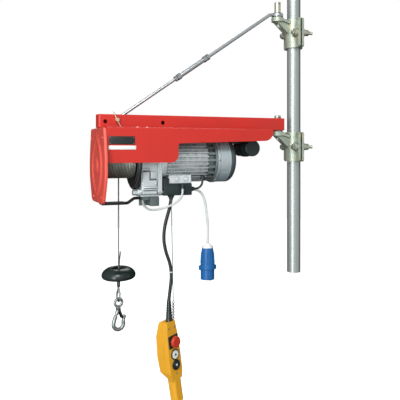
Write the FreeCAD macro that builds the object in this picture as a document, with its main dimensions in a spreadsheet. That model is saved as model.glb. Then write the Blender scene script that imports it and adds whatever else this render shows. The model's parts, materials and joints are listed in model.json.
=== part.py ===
import FreeCAD, Part
import math
import os
import re
import Sketcher
from FreeCAD import Placement, Rotation, Vector

# Wire rope hoist on a swing arm, clamped to a scaffold tube. All sizes are millimetres.
# Origin: centre of the tube's lower end. +Z runs up the tube, +X from the drum to the tube,
# and -Y is the side that the pendant control hangs on.

SIZES = (
    ("tube_round", 24.15, "scaffold tube, outside radius"),
    ("tube_wall", 3.2, "scaffold tube, wall"),
    ("tube_tall", 1010, "scaffold tube, length"),
    ("clamp_foot_low", 400, "underside of the lower clamp"),
    ("clamp_foot_high", 808, "underside of the upper clamp"),
    ("clamp_tall", 105, "height of a clamp"),
    ("clamp_wall", 7, "wall of a clamp's half shell"),
    ("ear_reach", 52, "clamp ear, outer edge"),
    ("ear_thick", 8, "clamp ear, thickness"),
    ("split_gap", 3, "half of the gap between a clamp's halves"),
    ("bolt_side", 39, "clamp bolt, distance beside the tube's axis"),
    ("bolt_round", 6, "clamp bolt, radius"),
    ("bolt_tip", 52, "clamp bolt, end of the thread"),
    ("nut_round", 11, "clamp nut, radius over its corners"),
    ("pivot_reach", 67, "arm pivot, distance from the tube's axis"),
    ("pin_round", 11, "pivot pin, radius"),
    ("boss_round", 22, "pivot boss, radius"),
    ("boss_top", 107, "pivot boss, top above the clamp's underside"),
    ("boss_low", 92, "pivot boss, underside above the clamp's underside"),
    ("arm_left", 718, "arm, closed end, distance from the tube's axis"),
    ("arm_right", 52, "arm, open end, distance from the tube's axis"),
    ("arm_foot", 511, "arm, underside"),
    ("arm_tall", 43, "arm, height"),
    ("arm_wide", 45, "arm, width"),
    ("arm_wall", 3, "arm, wall"),
    ("bush_round", 14, "pivot bush, radius"),
    ("frame_half", 100, "hoist frame, half width"),
    ("sheet_thick", 3, "hoist frame and end cover, sheet"),
    ("frame_deep", 402, "hoist frame, lower edge beside the drum"),
    ("frame_step", 480, "hoist frame, step in the lower edge"),
    ("frame_mid", 462, "hoist frame, lower edge at the step"),
    ("frame_tail", 472.5, "hoist frame, lower edge at the tube end"),
    ("frame_right", 140, "hoist frame, tube end"),
    ("cover_deep", 9, "end cover, depth"),
    ("cover_top", 510.6, "end cover, top"),
    ("cover_foot", 275, "end cover, underside"),
    ("cover_brow", 97, "end cover, half width at the top"),
    ("cover_waist", 119, "end cover, half width at the middle"),
    ("cover_chin", 82, "end cover, half width at the underside"),
    ("drum_axis", 408, "height of the drum and motor axis"),
    ("barrel_round", 53, "drum barrel, radius"),
    ("rope_round", 2.5, "wire rope, radius"),
    ("flange_round", 94, "drum flange beside the gearbox, radius"),
    ("shaft_round", 12.5, "drum shaft, radius"),
    ("gear_drop", 52.5, "centre distance of both gear pairs"),
    ("case_left", 588, "gearbox, drum side"),
    ("case_split", 534, "gearbox, joint between case and cover"),
    ("case_right", 521, "gearbox cover, motor side"),
    ("case_half", 55, "gearbox, half width"),
    ("case_foot", 297, "gearbox, underside"),
    ("case_top", 462, "gearbox, top"),
    ("case_wall", 6, "gearbox, wall"),
    ("motor_round", 66, "motor housing, radius under the fins"),
    ("motor_bore", 60, "motor housing, bore"),
    ("fin_round", 73, "motor housing, radius over the fins"),
    ("fin_thick", 2.6, "motor fin, thickness"),
    ("housing_right", 363.5, "motor housing, fan side"),
    ("bell_right", 331, "end bell, fan side"),
    ("cowl_right", 260, "fan cowl, outer end"),
    ("cowl_round", 75, "fan cowl, radius"),
    ("rotor_round", 35, "rotor, radius"),
    ("axle_round", 7.5, "motor shaft, radius"),
    ("box_left", 516, "control box, drum side"),
    ("box_right", 419, "control box, tube side"),
    ("box_front", 60, "control box, front face"),
    ("box_foot", 295, "control box, underside"),
    ("box_top", 332, "control box, top"),
    ("cap_round", 28, "capacitor, radius"),
    ("cap_centre", 197, "capacitor axis, distance from the tube's axis"),
    ("cap_height", 447.5, "capacitor axis, height"),
    ("fall_reach", 634.5, "rope fall, distance from the tube's axis"),
    ("fall_side", 55.5, "rope fall, distance behind the drum's axis"),
    ("fall_top", 383.5, "rope fall, height where it meets the drum's wraps"),
    ("dome_round", 56, "counterweight, radius"),
    ("dome_tall", 35, "counterweight, height"),
    ("dome_centre", 36.5, "counterweight, height of its middle"),
    ("hook_bar", 6.5, "hook, radius of its bar"),
    ("hook_bowl", 18, "hook, radius of the bowl's centre line"),
    ("hook_centre", -132.5, "hook, height of the bowl's centre"),
    ("link_height", -57.5, "height of the pivot between thimble and hook"),
    ("lever_height", 281.5, "limit lever, pivot height"),
    ("lever_reach", 555, "limit lever, pivot distance from the tube's axis"),
    ("fork_height", 266, "limit lever, height of the fork"),
    ("bar_round", 4.5, "limit lever, bar radius"),
    ("grip_split", 22, "pendant, joint between its shells, behind the front face"),
    ("grip_wall", 3, "pendant, wall"),
    ("plug_top", 131, "mains plug, height of its cap"),
)

AXES = {
    "x": Rotation(Vector(0, 1, 0), 90),
    "y": Rotation(Vector(1, 0, 0), -90),
    "z": Rotation(),
}

doc = FreeCAD.newDocument("SwingArmHoist")
sheet = doc.addObject("Spreadsheet::Sheet", "Sizes")
parts = []


# ---------------------------------------------------------------- helpers

def fill_sheet():
    for row, (alias, size, note) in enumerate(SIZES, 1):
        sheet.set("A%d" % row, note)
        sheet.set("B%d" % row, str(size))
        sheet.setAlias("B%d" % row, alias)
    doc.recompute()


def linked(formula):
    """A formula in the sheet's words, written as a FreeCAD expression."""
    return re.sub(r"\b[a-z]+(?:_[a-z]+)+\b", r"Sizes.\g<0>", str(formula))


def value(formula):
    return float(sheet.evalExpression(linked(formula)))


def bind(item, **formulas):
    for name, formula in formulas.items():
        item.setExpression(name, linked(formula))
    return item


def place(item, at, turn=None):
    item.Placement = Placement(Vector(), turn or Rotation())
    for letter, formula in zip("xyz", at):
        item.setExpression("Placement.Base." + letter, linked(formula))
    return item


def node(item, label):
    """Names a finished sub-part; the label names its file."""
    item.Label = label
    parts.append((label, item))
    return item


def rod(name, radius, length, at, axis="z"):
    item = bind(doc.addObject("Part::Cylinder", name), Radius=radius, Height=length)
    return place(item, at, AXES[axis])


def cone(name, low, high, length, at, axis="z"):
    item = bind(doc.addObject("Part::Cone", name), Radius1=low, Radius2=high, Height=length)
    return place(item, at, AXES[axis])


def hexagon(name, radius, length, at, axis="z"):
    item = doc.addObject("Part::Prism", name)
    item.Polygon = 6
    bind(item, Circumradius=radius, Height=length)
    return place(item, at, AXES[axis])


def torus(name, major, minor, at, axis="z"):
    item = bind(doc.addObject("Part::Torus", name), Radius1=major, Radius2=minor)
    return place(item, at, AXES[axis])


def block(name, size, at):
    item = bind(doc.addObject("Part::Box", name), Length=size[0], Width=size[1], Height=size[2])
    return place(item, at)


def cut(name, base, *tools):
    for number, tool in enumerate(tools):
        item = doc.addObject("Part::Cut", name + "_%d" % number)
        item.Base = base
        item.Tool = tool
        base = item
    return base


def common(name, base, tool):
    item = doc.addObject("Part::Common", name)
    item.Base = base
    item.Tool = tool
    return item


def fuse(name, *pieces):
    item = doc.addObject("Part::MultiFuse", name)
    item.Shapes = list(pieces)
    item.Refine = True
    return item


def group(name, *pieces):
    """Separate solids that share one sub-part."""
    item = doc.addObject("Part::Compound", name)
    item.Links = list(pieces)
    return item


def tube(name, outer, inner, length, at, axis="z"):
    core = rod(name + "_bore", inner, length, at, axis)
    return cut(name, rod(name + "_skin", outer, length, at, axis), core)


def solid(name, shape, at=Vector(), turn=None):
    """A shape made with Part's own functions, placed after it is set."""
    item = doc.addObject("Part::Feature", name)
    item.Shape = shape
    item.Placement = Placement(at, turn or Rotation())
    return item


def plane(body, role):
    return next(item for item in body.Origin.OriginFeatures if item.Role == role)


def outline(body, name, role, corners):
    """Closed outline on one of the body's own planes; the sheet drives every corner."""
    drawing = body.newObject("Sketcher::SketchObject", name)
    drawing.AttachmentSupport = [(plane(body, role), "")]
    drawing.MapMode = "FlatFace"
    spots = [Vector(value(across), value(up), 0) for across, up in corners]
    count = len(spots)
    drawing.addGeometry([Part.LineSegment(spots[i], spots[(i + 1) % count]) for i in range(count)])
    drawing.addConstraint(
        [Sketcher.Constraint("Coincident", i, 2, (i + 1) % count, 1) for i in range(count)])
    for i, corner in enumerate(corners):
        for kind, formula in zip(("DistanceX", "DistanceY"), corner):
            number = drawing.addConstraint(Sketcher.Constraint(kind, -1, 1, i, 1, value(formula)))
            drawing.setExpression("Constraints[%d]" % number, linked(formula))
    return drawing


def slab(name, role, corners, thick, at=("0", "0", "0"), turn=None):
    """A body padded by half its thickness each side of one of its own planes."""
    body = doc.addObject("PartDesign::Body", name)
    pad = body.newObject("PartDesign::Pad", name + "_pad")
    pad.Profile = outline(body, name + "_outline", role, corners)
    pad.SideType = "Symmetric"
    bind(pad, Length=thick)
    body.Tip = pad
    return place(body, at, turn)


def lathe(name, corners, at, turn=None):
    """A body turned about its own Z axis from half a profile."""
    body = doc.addObject("PartDesign::Body", name)
    item = body.newObject("PartDesign::Revolution", name + "_turn")
    item.Profile = outline(body, name + "_outline", "XZ_Plane", corners)
    item.ReferenceAxis = (plane(body, "Z_Axis"), [""])
    item.Angle = 360
    body.Tip = item
    return place(body, at, turn)


def pocket(body, name, role, corners, deep):
    """A cut through the body, half its depth each side of one of its own planes."""
    doc.recompute()
    before = body.Shape.Volume
    item = body.newObject("PartDesign::Pocket", name)
    item.Profile = outline(body, name + "_outline", role, corners)
    item.SideType = "Symmetric"
    bind(item, Length=deep)
    body.Tip = item
    doc.recompute()
    assert body.Shape.Volume < before, name
    return body


def soften(body, name, radius, wanted):
    """Rounds the chosen edges of a body."""
    doc.recompute()
    base = body.Tip
    item = body.newObject("PartDesign::Fillet", name)
    edges = enumerate(base.Shape.Edges, 1)
    item.Base = (base, ["Edge%d" % number for number, edge in edges if wanted(edge)])
    bind(item, Radius=radius)
    body.Tip = item
    return body


def rounded(name, base, radius, wanted):
    """Rounds the chosen edges of a Part object."""
    doc.recompute()
    size = value(radius)
    item = doc.addObject("Part::Fillet", name)
    item.Base = base
    edges = enumerate(base.Shape.Edges, 1)
    item.Edges = [(number, size, size) for number, edge in edges if wanted(edge)]
    return item


def along(edge, letter):
    """True for a straight edge that runs along an axis."""
    if not isinstance(edge.Curve, Part.Line):
        return False
    return abs(getattr(edge.Curve.Direction, letter)) > 0.99


def at_level(edge, letter, level):
    """True for an edge that lies wholly at one level of an axis."""
    box = edge.BoundBox
    low = getattr(box, letter.upper() + "Min")
    high = getattr(box, letter.upper() + "Max")
    return abs(low - level) < 0.01 and abs(high - level) < 0.01


def rectangle(across, up):
    """The corners of a rectangle from its two spans."""
    (left, right), (low, high) = across, up
    return ((left, low), (right, low), (right, high), (left, high))


def path_wire(points, radii):
    """Straight runs joined by tangent arcs of the given radii."""
    spots = [Vector(*point) for point in points]
    edges = []
    start = spots[0]
    for i in range(1, len(spots) - 1):
        back = (spots[i - 1] - spots[i]).normalize()
        ahead = (spots[i + 1] - spots[i]).normalize()
        half_turn = (math.pi - back.getAngle(ahead)) / 2
        reach = radii[i - 1] * math.tan(half_turn)
        inward = (back + ahead).normalize()
        middle = spots[i] + inward * (radii[i - 1] / math.cos(half_turn) - radii[i - 1])
        first = spots[i] + back * reach
        last = spots[i] + ahead * reach
        edges.append(Part.LineSegment(start, first).toShape())
        edges.append(Part.Arc(first, middle, last).toShape())
        start = last
    edges.append(Part.LineSegment(start, spots[-1]).toShape())
    return Part.Wire(edges)


def swept(wire, radius):
    """A round bar along a wire."""
    first = wire.OrderedEdges[0]
    start = first.valueAt(first.FirstParameter)
    heading = first.tangentAt(first.FirstParameter)
    section = Part.Wire(Part.makeCircle(radius, start, heading))
    return wire.makePipeShell([section], True, True)


def cord(name, points, radius):
    """A cord: each arc is as large as its two runs allow."""
    spots = [Vector(*point) for point in points]
    runs = [a.distanceToPoint(b) for a, b in zip(spots, spots[1:])]
    radii = []
    for i in range(1, len(spots) - 1):
        turn = (spots[i] - spots[i - 1]).getAngle(spots[i + 1] - spots[i])
        radii.append(0.45 * min(runs[i - 1], runs[i]) / math.tan(turn / 2))
    wire = path_wire(points, radii)
    shape = swept(wire, radius)
    expected = math.pi * radius ** 2 * wire.Length
    print("%s: length %.1f, runs %s, radii %s, volume ratio %.4f" % (
        name, wire.Length, [round(run) for run in runs], [round(r) for r in radii],
        shape.Volume / expected))
    return node(solid(name + "_run", shape), name)


def gear_shape(module, teeth, face, bore, first_angle):
    """Spur gear about X, with involute flanks in three chords and a tooth at first_angle from +Z."""
    pressure = math.radians(25)
    pitch = module * teeth / 2
    base = pitch * math.cos(pressure)
    tip = pitch + 0.8 * module
    root = pitch - 1.05 * module
    backlash = 0.06 * module

    def half_width(radius):
        spread = math.acos(min(1, base / radius))
        involute = math.tan(spread) - spread
        start = math.tan(pressure) - pressure
        return (math.pi / 2 * module - backlash) / (2 * pitch) + start - involute

    low = max(root, base)
    levels = [low + (tip - low) * step / 3 for step in range(4)]
    points = []
    for tooth in range(teeth):
        middle = first_angle + 2 * math.pi * tooth / teeth
        flank = [(root, -half_width(low))] + [(r, -half_width(r)) for r in levels]
        for radius, offset in flank + [(r, -o) for r, o in reversed(flank)]:
            turn = middle + offset
            spot = Vector(0, radius * math.sin(turn), radius * math.cos(turn))
            if not points or points[-1].distanceToPoint(spot) > 1e-6:
                points.append(spot)
    points.append(points[0])
    blank = Part.Face(Part.makePolygon(points)).extrude(Vector(face, 0, 0))
    if bore:
        blank = blank.cut(Part.makeCylinder(bore, face, Vector(), Vector(1, 0, 0)))
    return blank


# ---------------------------------------------------------------- tube and clamps

def support_pole():
    pole = tube("pole", "tube_round", "tube_round - tube_wall", "tube_tall", ("0", "0", "0"))
    node(pole, "support_pole")


def clamp_shell(name, side, bore, foot):
    """Half shell with two bolting ears; side is -1 toward the arm and +1 for the cap."""
    ring = tube(name + "_ring", "tube_round + clamp_wall", bore, "clamp_tall", ("0", "0", foot))
    start = "-ear_thick - split_gap" if side < 0 else "split_gap"
    far = "-2 * tube_round" if side < 0 else "split_gap"
    keep = block(name + "_half", ("2 * tube_round - split_gap", "4 * tube_round", "clamp_tall"),
                 (far, "-2 * tube_round", foot))
    shell = common(name + "_shell", ring, keep)
    pieces = [shell]
    for word, low in (("front", "-ear_reach"), ("rear", "tube_round + 3")):
        ear = block("%s_%s_ear" % (name, word),
                    ("ear_thick", "ear_reach - tube_round - 3", "clamp_tall"), (start, low, foot))
        pieces.append(rounded("%s_%s_lobe" % (name, word), ear, 9, lambda edge: along(edge, "x")))
        boss_start = "-split_gap - 20" if side < 0 else "split_gap"
        centre = "-bolt_side" if word == "front" else "bolt_side"
        pieces.append(rod("%s_%s_boss" % (name, word), "nut_round + 1.5", 18 if side > 0 else 20,
                          (boss_start, centre, foot + " + clamp_tall / 2"), "x"))
    return fuse(name + "_casting", *pieces)


def bolt_holes(name, foot, low, long):
    return group(name, *[
        rod("%s_%s" % (name, word), "bolt_round", long,
            (low, side + "bolt_side", foot + " + clamp_tall / 2"), "x")
        for word, side in (("front", "-"), ("rear", ""))])


def clamp_body(label, foot):
    """Clamp half with the tapered bracket that carries the pivot boss."""
    name = label + "_part"
    shell = clamp_shell(name, -1, "tube_round", foot)
    web = slab(name + "_web", "XZ_Plane", (
        ("-pivot_reach - 17", "boss_low + 6"), ("-pivot_reach - 17", "boss_top - 1"),
        ("-tube_round - 3", "boss_low - 1"), ("-tube_round - 3", "clamp_tall * 0.45")),
        30, ("0", "0", foot))
    flange = slab(name + "_flange", "XZ_Plane", (
        ("-pivot_reach - 4", "boss_top - 9"), ("-pivot_reach - 4", "boss_top"),
        ("-tube_round - 2", "boss_low + 2"), ("-tube_round - 2", "boss_low - 7")),
        "boss_round * 2 - 2", ("0", "0", foot))
    boss = rod(name + "_pivot", "boss_round", "boss_top - boss_low",
               ("-pivot_reach", "0", foot + " + boss_low"))
    dimple = rod(name + "_knob", 6.5, 12, ("-13", "-tube_round - clamp_wall - 2",
                                           foot + " + clamp_tall / 2"), "y")
    body = fuse(name + "_all", shell, web, flange, boss, dimple)
    clear_tube = rod(name + "_bore", "tube_round", "clamp_tall + 20", ("0", "0", foot + " - 10"))
    pin_hole = rod(name + "_eye", "pin_round", 60, ("-pivot_reach", "0", foot + " + boss_low - 20"))
    holes = bolt_holes(name + "_holes", foot, "-40", 60)
    node(cut(name + "_cut", body, clear_tube, pin_hole, holes), label)


def clamp_cap(label, foot):
    name = label + "_part"
    shell = clamp_shell(name, 1, "tube_round + 0.3", foot)
    rib = rod(name + "_rib", "tube_round + clamp_wall + 3", 14,
              ("0", "0", foot + " + clamp_tall / 2 - 7"))
    half = block(name + "_rib_half", (60, 120, 20), ("split_gap + 6", "-60",
                                                     foot + " + clamp_tall / 2 - 10"))
    body = fuse(name + "_all", shell, common(name + "_band", rib, half))
    bore = rod(name + "_bore", "tube_round + 0.3", "clamp_tall + 20", ("0", "0", foot + " - 10"))
    holes = group(name + "_holes", *[
        rod("%s_%s_hole" % (name, word), "bolt_round + 0.3", 60,
            ("-10", side + "bolt_side", foot + " + clamp_tall / 2"), "x")
        for word, side in (("front", "-"), ("rear", ""))])
    node(cut(name + "_cut", body, bore, holes), label)


def clamp_fasteners():
    """Two bolts and two nuts to each clamp; the nuts leave with the cap."""
    bolts = []
    for clamp, foot in (("lower", "clamp_foot_low"), ("upper", "clamp_foot_high")):
        nuts = []
        for word, side in (("front", "-"), ("rear", "")):
            name = "%s_%s" % (clamp, word)
            spot = (side + "bolt_side", foot + " + clamp_tall / 2")
            head = hexagon(name + "_head", "nut_round - 1", 8, ("-split_gap - 28",) + spot, "x")
            shank = rod(name + "_shank", "bolt_round", "bolt_tip + split_gap + 20",
                        ("-split_gap - 20",) + spot, "x")
            bolts.append(fuse(name + "_bolt", head, shank))
            washer = rod(name + "_washer", "nut_round + 1", 2, ("split_gap + 18",) + spot, "x")
            nut = hexagon(name + "_hex", "nut_round", 12, ("split_gap + 20",) + spot, "x")
            hole = rod(name + "_thread", "bolt_round + 0.08", 40, ("10",) + spot, "x")
            nuts.append(cut(name + "_nut", fuse(name + "_stack", washer, nut), hole))
        node(group(clamp + "_nut_pair", *nuts), clamp + "_clamp_nuts")
    node(group("bolt_set", *bolts), "clamp_bolts")


def pivot_pins():
    """Both pins stand in their bosses; each is cross drilled near its top."""
    low = rod("low_pin", "pin_round", 76, ("-pivot_reach", "0", "clamp_foot_low + boss_low - 3"))
    high = rod("high_pin", "pin_round", 74, ("-pivot_reach", "0", "clamp_foot_high + boss_low - 3"))
    pins = []
    for word, pin, top in (("low", low, "clamp_foot_low + boss_low + 73"),
                           ("high", high, "clamp_foot_high + boss_low + 71")):
        drill = rod(word + "_pin_drill", 2.2, 40, ("-pivot_reach", "-20", top + " - 8"), "y")
        drilled = cut(word + "_pin_drilled", pin, drill)
        pins.append(rounded(word + "_pin_round", drilled, 2.5,
                            lambda edge, top=top: at_level(edge, "z", value(top))))
    node(group("pin_pair", *pins), "pivot_pins")


# ---------------------------------------------------------------- arm, frame and tie rod

FRAME_SCREWS = (-630, -540, -300, -180)


def screw_holes(name):
    """Clearance holes for the screws that join the frame to the arm."""
    return [rod("%s_screw_hole_%d" % (name, number), 4.05, 30, (reach, 0, "arm_foot - 15"))
            for number, reach in enumerate(FRAME_SCREWS)]


def swing_arm():
    """Box section arm, closed at the drum end."""
    skin = slab("arm_skin", "XY_Plane", rectangle(
        ("-arm_left", "-arm_right"), ("-arm_wide / 2", "arm_wide / 2")),
        "arm_tall", ("0", "0", "arm_foot + arm_tall / 2"))
    soften(skin, "arm_nose", 9, lambda edge: along(edge, "z") and edge.BoundBox.XMin < -700)
    soften(skin, "arm_edges", 2.5, lambda edge: along(edge, "x"))
    hollow = block("arm_hollow", ("arm_left", "arm_wide - 2 * arm_wall", "arm_tall - 2 * arm_wall"),
                   ("-arm_left + arm_wall", "-arm_wide / 2 + arm_wall", "arm_foot + arm_wall"))
    side_holes = group("arm_side_holes", *[
        rod("arm_hole_%d" % number, radius, long, (reach, "-40", level), "y")
        for number, (reach, level, radius, long) in enumerate(
            ((-695.6, 531, 6.5, 40), (-506.5, 530, 6.5, 40), (-659, 536.5, 6, 80)))])
    slot = block("arm_slot", (80, 17, 10), ("-688", "-8.5", "arm_foot + arm_tall - 5"))
    pivot = rod("arm_pivot_hole", "bush_round", 80, ("-pivot_reach", "0", "arm_foot - 20"))
    node(cut("arm_cut", skin, hollow, side_holes, slot, pivot, *screw_holes("arm")), "swing_arm")


def pivot_bush():
    body = fuse("bush_all",
                rod("bush_barrel", "bush_round", "arm_tall + 2", ("-pivot_reach", "0", "arm_foot")),
                rod("bush_flange", "bush_round + 4", 3, ("-pivot_reach", "0", "arm_foot - 3")))
    bore = rod("bush_bore", "pin_round + 0.08", 80, ("-pivot_reach", "0", "arm_foot - 20"))
    node(cut("bush_cut", body, bore), "pivot_bushing")


def hoist_frame():
    """Folded sheet channel under the arm, deep beside the drum and shallow beside the motor."""
    body = slab("frame_body", "XZ_Plane", (
        ("-arm_left + 3", "frame_deep"), ("-frame_step", "frame_deep"),
        ("-frame_step", "frame_mid"), ("-frame_right", "frame_tail"),
        ("-frame_right", "arm_foot"), ("-arm_left + cover_deep + 0.4", "arm_foot"),
        ("-arm_left + cover_deep + 0.4", "cover_top - 40"), ("-arm_left + 3", "cover_top - 40")),
        "2 * frame_half")
    soften(body, "frame_bend", 5, lambda edge: along(edge, "x") and at_level(
        edge, "z", value("arm_foot")))
    pocket(body, "frame_inside", "YZ_Plane", rectangle(
        ("-frame_half + sheet_thick", "frame_half - sheet_thick"),
        ("frame_deep - 60", "arm_foot - sheet_thick")), 2000)

    def corner(edge, reach, level):
        middle = edge.BoundBox.Center
        return along(edge, "y") and abs(middle.x + reach) < 1 and abs(middle.z - level) < 1

    soften(body, "frame_corner", 24, lambda edge: corner(edge, value("frame_step"), value("frame_deep")))
    soften(body, "frame_end", 32, lambda edge: corner(edge, value("frame_right"), value("frame_tail")))
    soften(body, "frame_notch", 8, lambda edge: corner(edge, value("frame_step"), value("frame_mid")))
    node(cut("frame_cut", body, *screw_holes("frame")), "hoist_frame")


def cover_corners(inset):
    """Outline of the end cover, drawn in by an inset."""
    half = (("cover_brow", "cover_top"), ("cover_waist", "cover_top - 90"),
            ("cover_waist", "cover_top - 155"), ("cover_chin", "cover_foot"))
    right = [("%s - %s" % (wide, inset), up) for wide, up in half]
    left = [("-(%s - %s)" % (wide, inset), up) for wide, up in reversed(half)]
    ends = {0: " - %s" % inset, 3: " + %s" % inset, 4: " + %s" % inset, 7: " - %s" % inset}
    return [(wide, up + ends.get(i, "")) for i, (wide, up) in enumerate(right + left)]


def lens_corners(half_wide, low, high):
    """Outline of the pressed ridge: a tall lens with flattened sides."""
    middle = "(%s + %s) / 2" % (low, high)
    return (("0", low), (half_wide, middle + " - 22"), (half_wide, middle + " + 22"), ("0", high),
            ("-" + half_wide, middle + " + 22"), ("-" + half_wide, middle + " - 22"))


def end_cover():
    """Pressed cover over the drum's outer end, with the housing of the drum's outer bearing."""
    face = "-arm_left"
    outer = slab("cover_outer", "YZ_Plane", cover_corners("0"), "cover_deep",
                 (face + " + cover_deep / 2", "0", "0"))
    soften(outer, "cover_sides", 30, lambda edge: along(edge, "x") and abs(
        edge.BoundBox.Center.y) > 100 and 300 < edge.BoundBox.Center.z < 490)
    soften(outer, "cover_shoulders", 8, lambda edge: along(edge, "x") and (
        edge.BoundBox.Center.z > 490))
    soften(outer, "cover_feet", 20, lambda edge: along(edge, "x") and edge.BoundBox.Center.z < 300)
    soften(outer, "cover_rim", 5, lambda edge: at_level(edge, "x", -value("cover_deep") / 2))
    inner = slab("cover_inner", "YZ_Plane", cover_corners("sheet_thick"), "cover_deep",
                 (face + " + cover_deep / 2 + sheet_thick", "0", "0"))
    soften(inner, "inner_sides", 27, lambda edge: along(edge, "x") and abs(
        edge.BoundBox.Center.y) > 100 and 300 < edge.BoundBox.Center.z < 480)
    ridge = slab("ridge_outer", "YZ_Plane", lens_corners("72", "cover_foot + 14", "cover_top - 17"),
                 8, (face, "0", "0"))
    valley = slab("ridge_inner", "YZ_Plane", lens_corners("56", "cover_foot + 44", "cover_top - 47"),
                  20, (face, "0", "0"))
    ring = cut("ridge_ring", ridge, valley)
    ring = rounded("ridge_soft", ring, 2.5, lambda edge: at_level(edge, "x", -value("arm_left") - 4))
    plaque = rod("cover_plaque", 26, 5, (face + " - 3", "0", "drum_axis - 18"), "x")
    plaque = rounded("plaque_soft", plaque, 2, lambda edge: at_level(
        edge, "x", -value("arm_left") - 3))
    housing = rod("outer_housing", 30, 12, (face + " + sheet_thick", "0", "drum_axis"), "x")
    shell = fuse("cover_all", cut("cover_pan", outer, inner), ring, plaque, housing)
    seat = rod("outer_seat", 23.5, 13, (face + " + sheet_thick", "0", "drum_axis"), "x")
    dark_hole = rod("cover_hole", 4, 20, (face + " - 5", "62", "cover_foot + 20"), "x")
    node(cut("cover_cut", shell, seat, dark_hole), "end_cover")


ROD_PIN = (-659.0, 536.5)
ROD_SLOPE = 34.6
SLEEVE_START = 256.0
SLEEVE_LENGTH = 127.0


def on_rod(distance):
    """The point of the tie rod's centre line at a distance from its lower pin."""
    angle = math.radians(ROD_SLOPE)
    return Vector(ROD_PIN[0] + distance * math.cos(angle), 0,
                  ROD_PIN[1] + distance * math.sin(angle))


def tie_rod():
    """Two rods joined by a turnbuckle sleeve, from the arm's pin to the upper pivot pin."""
    lean = Rotation(Vector(0, 1, 0), 90 - ROD_SLOPE)
    base = [str(number) for number in on_rod(0)]
    eye = cut("low_eye", fuse(
        "low_eye_all", rod("low_eye_disc", 11, 12, ("0", "-6", "0"), "y"),
        rod("low_rod", 5, 290, ("0", "0", "8"))),
        rod("low_eye_hole", 6, 30, ("0", "-15", "0"), "y"))
    nut = cut("low_lock_nut", hexagon("low_lock_hex", 9.5, 8, ("0", "0", "246")),
              rod("low_lock_hole", 5, 30, ("0", "0", "236")))
    node(place(group("low_rod_group", eye, nut), base, lean), "tie_rod_lower")
    sleeve = cut("sleeve_cut", fuse(
        "sleeve_all", rod("sleeve_body", 8, SLEEVE_LENGTH, ("0", "0", SLEEVE_START)),
        hexagon("sleeve_low_hex", 10.5, 14, ("0", "0", SLEEVE_START)),
        hexagon("sleeve_high_hex", 10.5, 14, ("0", "0", SLEEVE_START + SLEEVE_LENGTH - 14))),
        rod("sleeve_low_hole", 5.3, 80, ("0", "0", "240")),
        rod("sleeve_high_hole", 6.3, 80, ("0", "0", "318")))
    node(place(sleeve, base, lean), "turnbuckle_sleeve")
    eye_level = value("clamp_foot_high + boss_top") + 8
    bend = on_rod((eye_level - ROD_PIN[1]) / math.sin(math.radians(ROD_SLOPE)))
    high_nut_low = on_rod(SLEEVE_START + SLEEVE_LENGTH + 2)
    wire = path_wire([tuple(on_rod(325)), tuple(bend), (-value("pivot_reach") - 14, 0, eye_level)],
                     [22])
    bar = solid("high_rod", swept(wire, 6))
    disc = rod("high_eye_disc", 20, 12, ("-pivot_reach", "0", eye_level - 6))
    disc = rounded("high_eye_soft", disc, 3, lambda edge: True)
    hole = rod("high_eye_hole", "pin_round + 0.4", 40, ("-pivot_reach", "0", eye_level - 20))
    lock = place(cut("high_lock_nut", hexagon("high_lock_hex", 10.5, 8, ("0", "0", "0")),
                     rod("high_lock_hole", 6, 30, ("0", "0", "-10"))),
                 [str(number) for number in high_nut_low], lean)
    node(group("high_rod_group", cut("high_rod_cut", fuse("high_rod_all", bar, disc), hole), lock),
         "tie_rod_upper")


def tie_rod_pin():
    """Cross pin of the tie rod's lower eye, held by a spring clip at the front."""
    pin = fuse("cross_pin", rod("cross_shank", 6, 66, (ROD_PIN[0], -34, ROD_PIN[1]), "y"),
               rod("cross_head", 9, 5, (ROD_PIN[0], 24, ROD_PIN[1]), "y"))
    clip_wire = path_wire([(-672, -28.5, 562), (-663, -28.5, 545), (-657, -28.5, 533),
                           (-648, -28.5, 514)], [60, 60])
    clip = solid("clip_bar", swept(clip_wire, 1.5))
    drill = solid("clip_drill", swept(clip_wire, 1.5))
    node(group("cross_pin_set", cut("cross_pin_cut", pin, drill), clip), "tie_rod_pin")


def hex_screws():
    """Screws that hold the frame to the arm and the gearbox together."""
    screws = []
    for number, reach in enumerate(FRAME_SCREWS):
        head = hexagon("frame_head_%d" % number, 7.5, 5.5, (reach, 0, "arm_foot - sheet_thick - 5.5"))
        shank = rod("frame_shank_%d" % number, 4, 14, (reach, 0, "arm_foot - sheet_thick"))
        screws.append(fuse("frame_screw_%d" % number, head, shank))
    for number, (side, level) in enumerate(CASE_SCREWS):
        head = hexagon("case_head_%d" % number, 7, 4.5, ("-case_right", side, level), "x")
        shank = rod("case_shank_%d" % number, 3, 24, ("-case_right - 24", side, level), "x")
        screws.append(fuse("case_screw_%d" % number, head, shank))
    node(group("screw_set", *screws), "hex_screws")


CASE_SCREWS = ((-50, 452), (50, 452), (-50, 307), (50, 307))


# ---------------------------------------------------------------- drum and gearbox

def rope_drum():
    axis = ("0", "drum_axis")
    barrel = tube("barrel", "barrel_round", "barrel_round - 5", 106, ("-701",) + axis, "x")
    left = rod("left_flange", "barrel_round + 7", 4, ("-701",) + axis, "x")
    right = rod("right_flange", "flange_round", 8, ("-603",) + axis, "x")
    right = rounded("right_flange_soft", right, 3, lambda edge: True)
    hub = rod("drum_hub", 20, 106, ("-701",) + axis, "x")
    body = fuse("drum_all", barrel, left, right, hub)
    node(cut("drum_cut", body, rod("drum_bore", "shaft_round", 120, ("-710",) + axis, "x")),
         "rope_drum")
    node(tube("wraps", "barrel_round + 2 * rope_round", "barrel_round", 94, ("-697",) + axis, "x"),
         "rope_wraps")
    node(rod("drum_spindle", "shaft_round", 154, ("-714",) + axis, "x"), "drum_shaft")


STAGE_TWO = (1.5, 12, 58)
STAGE_ONE = (1.0, 12, 93)


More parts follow.
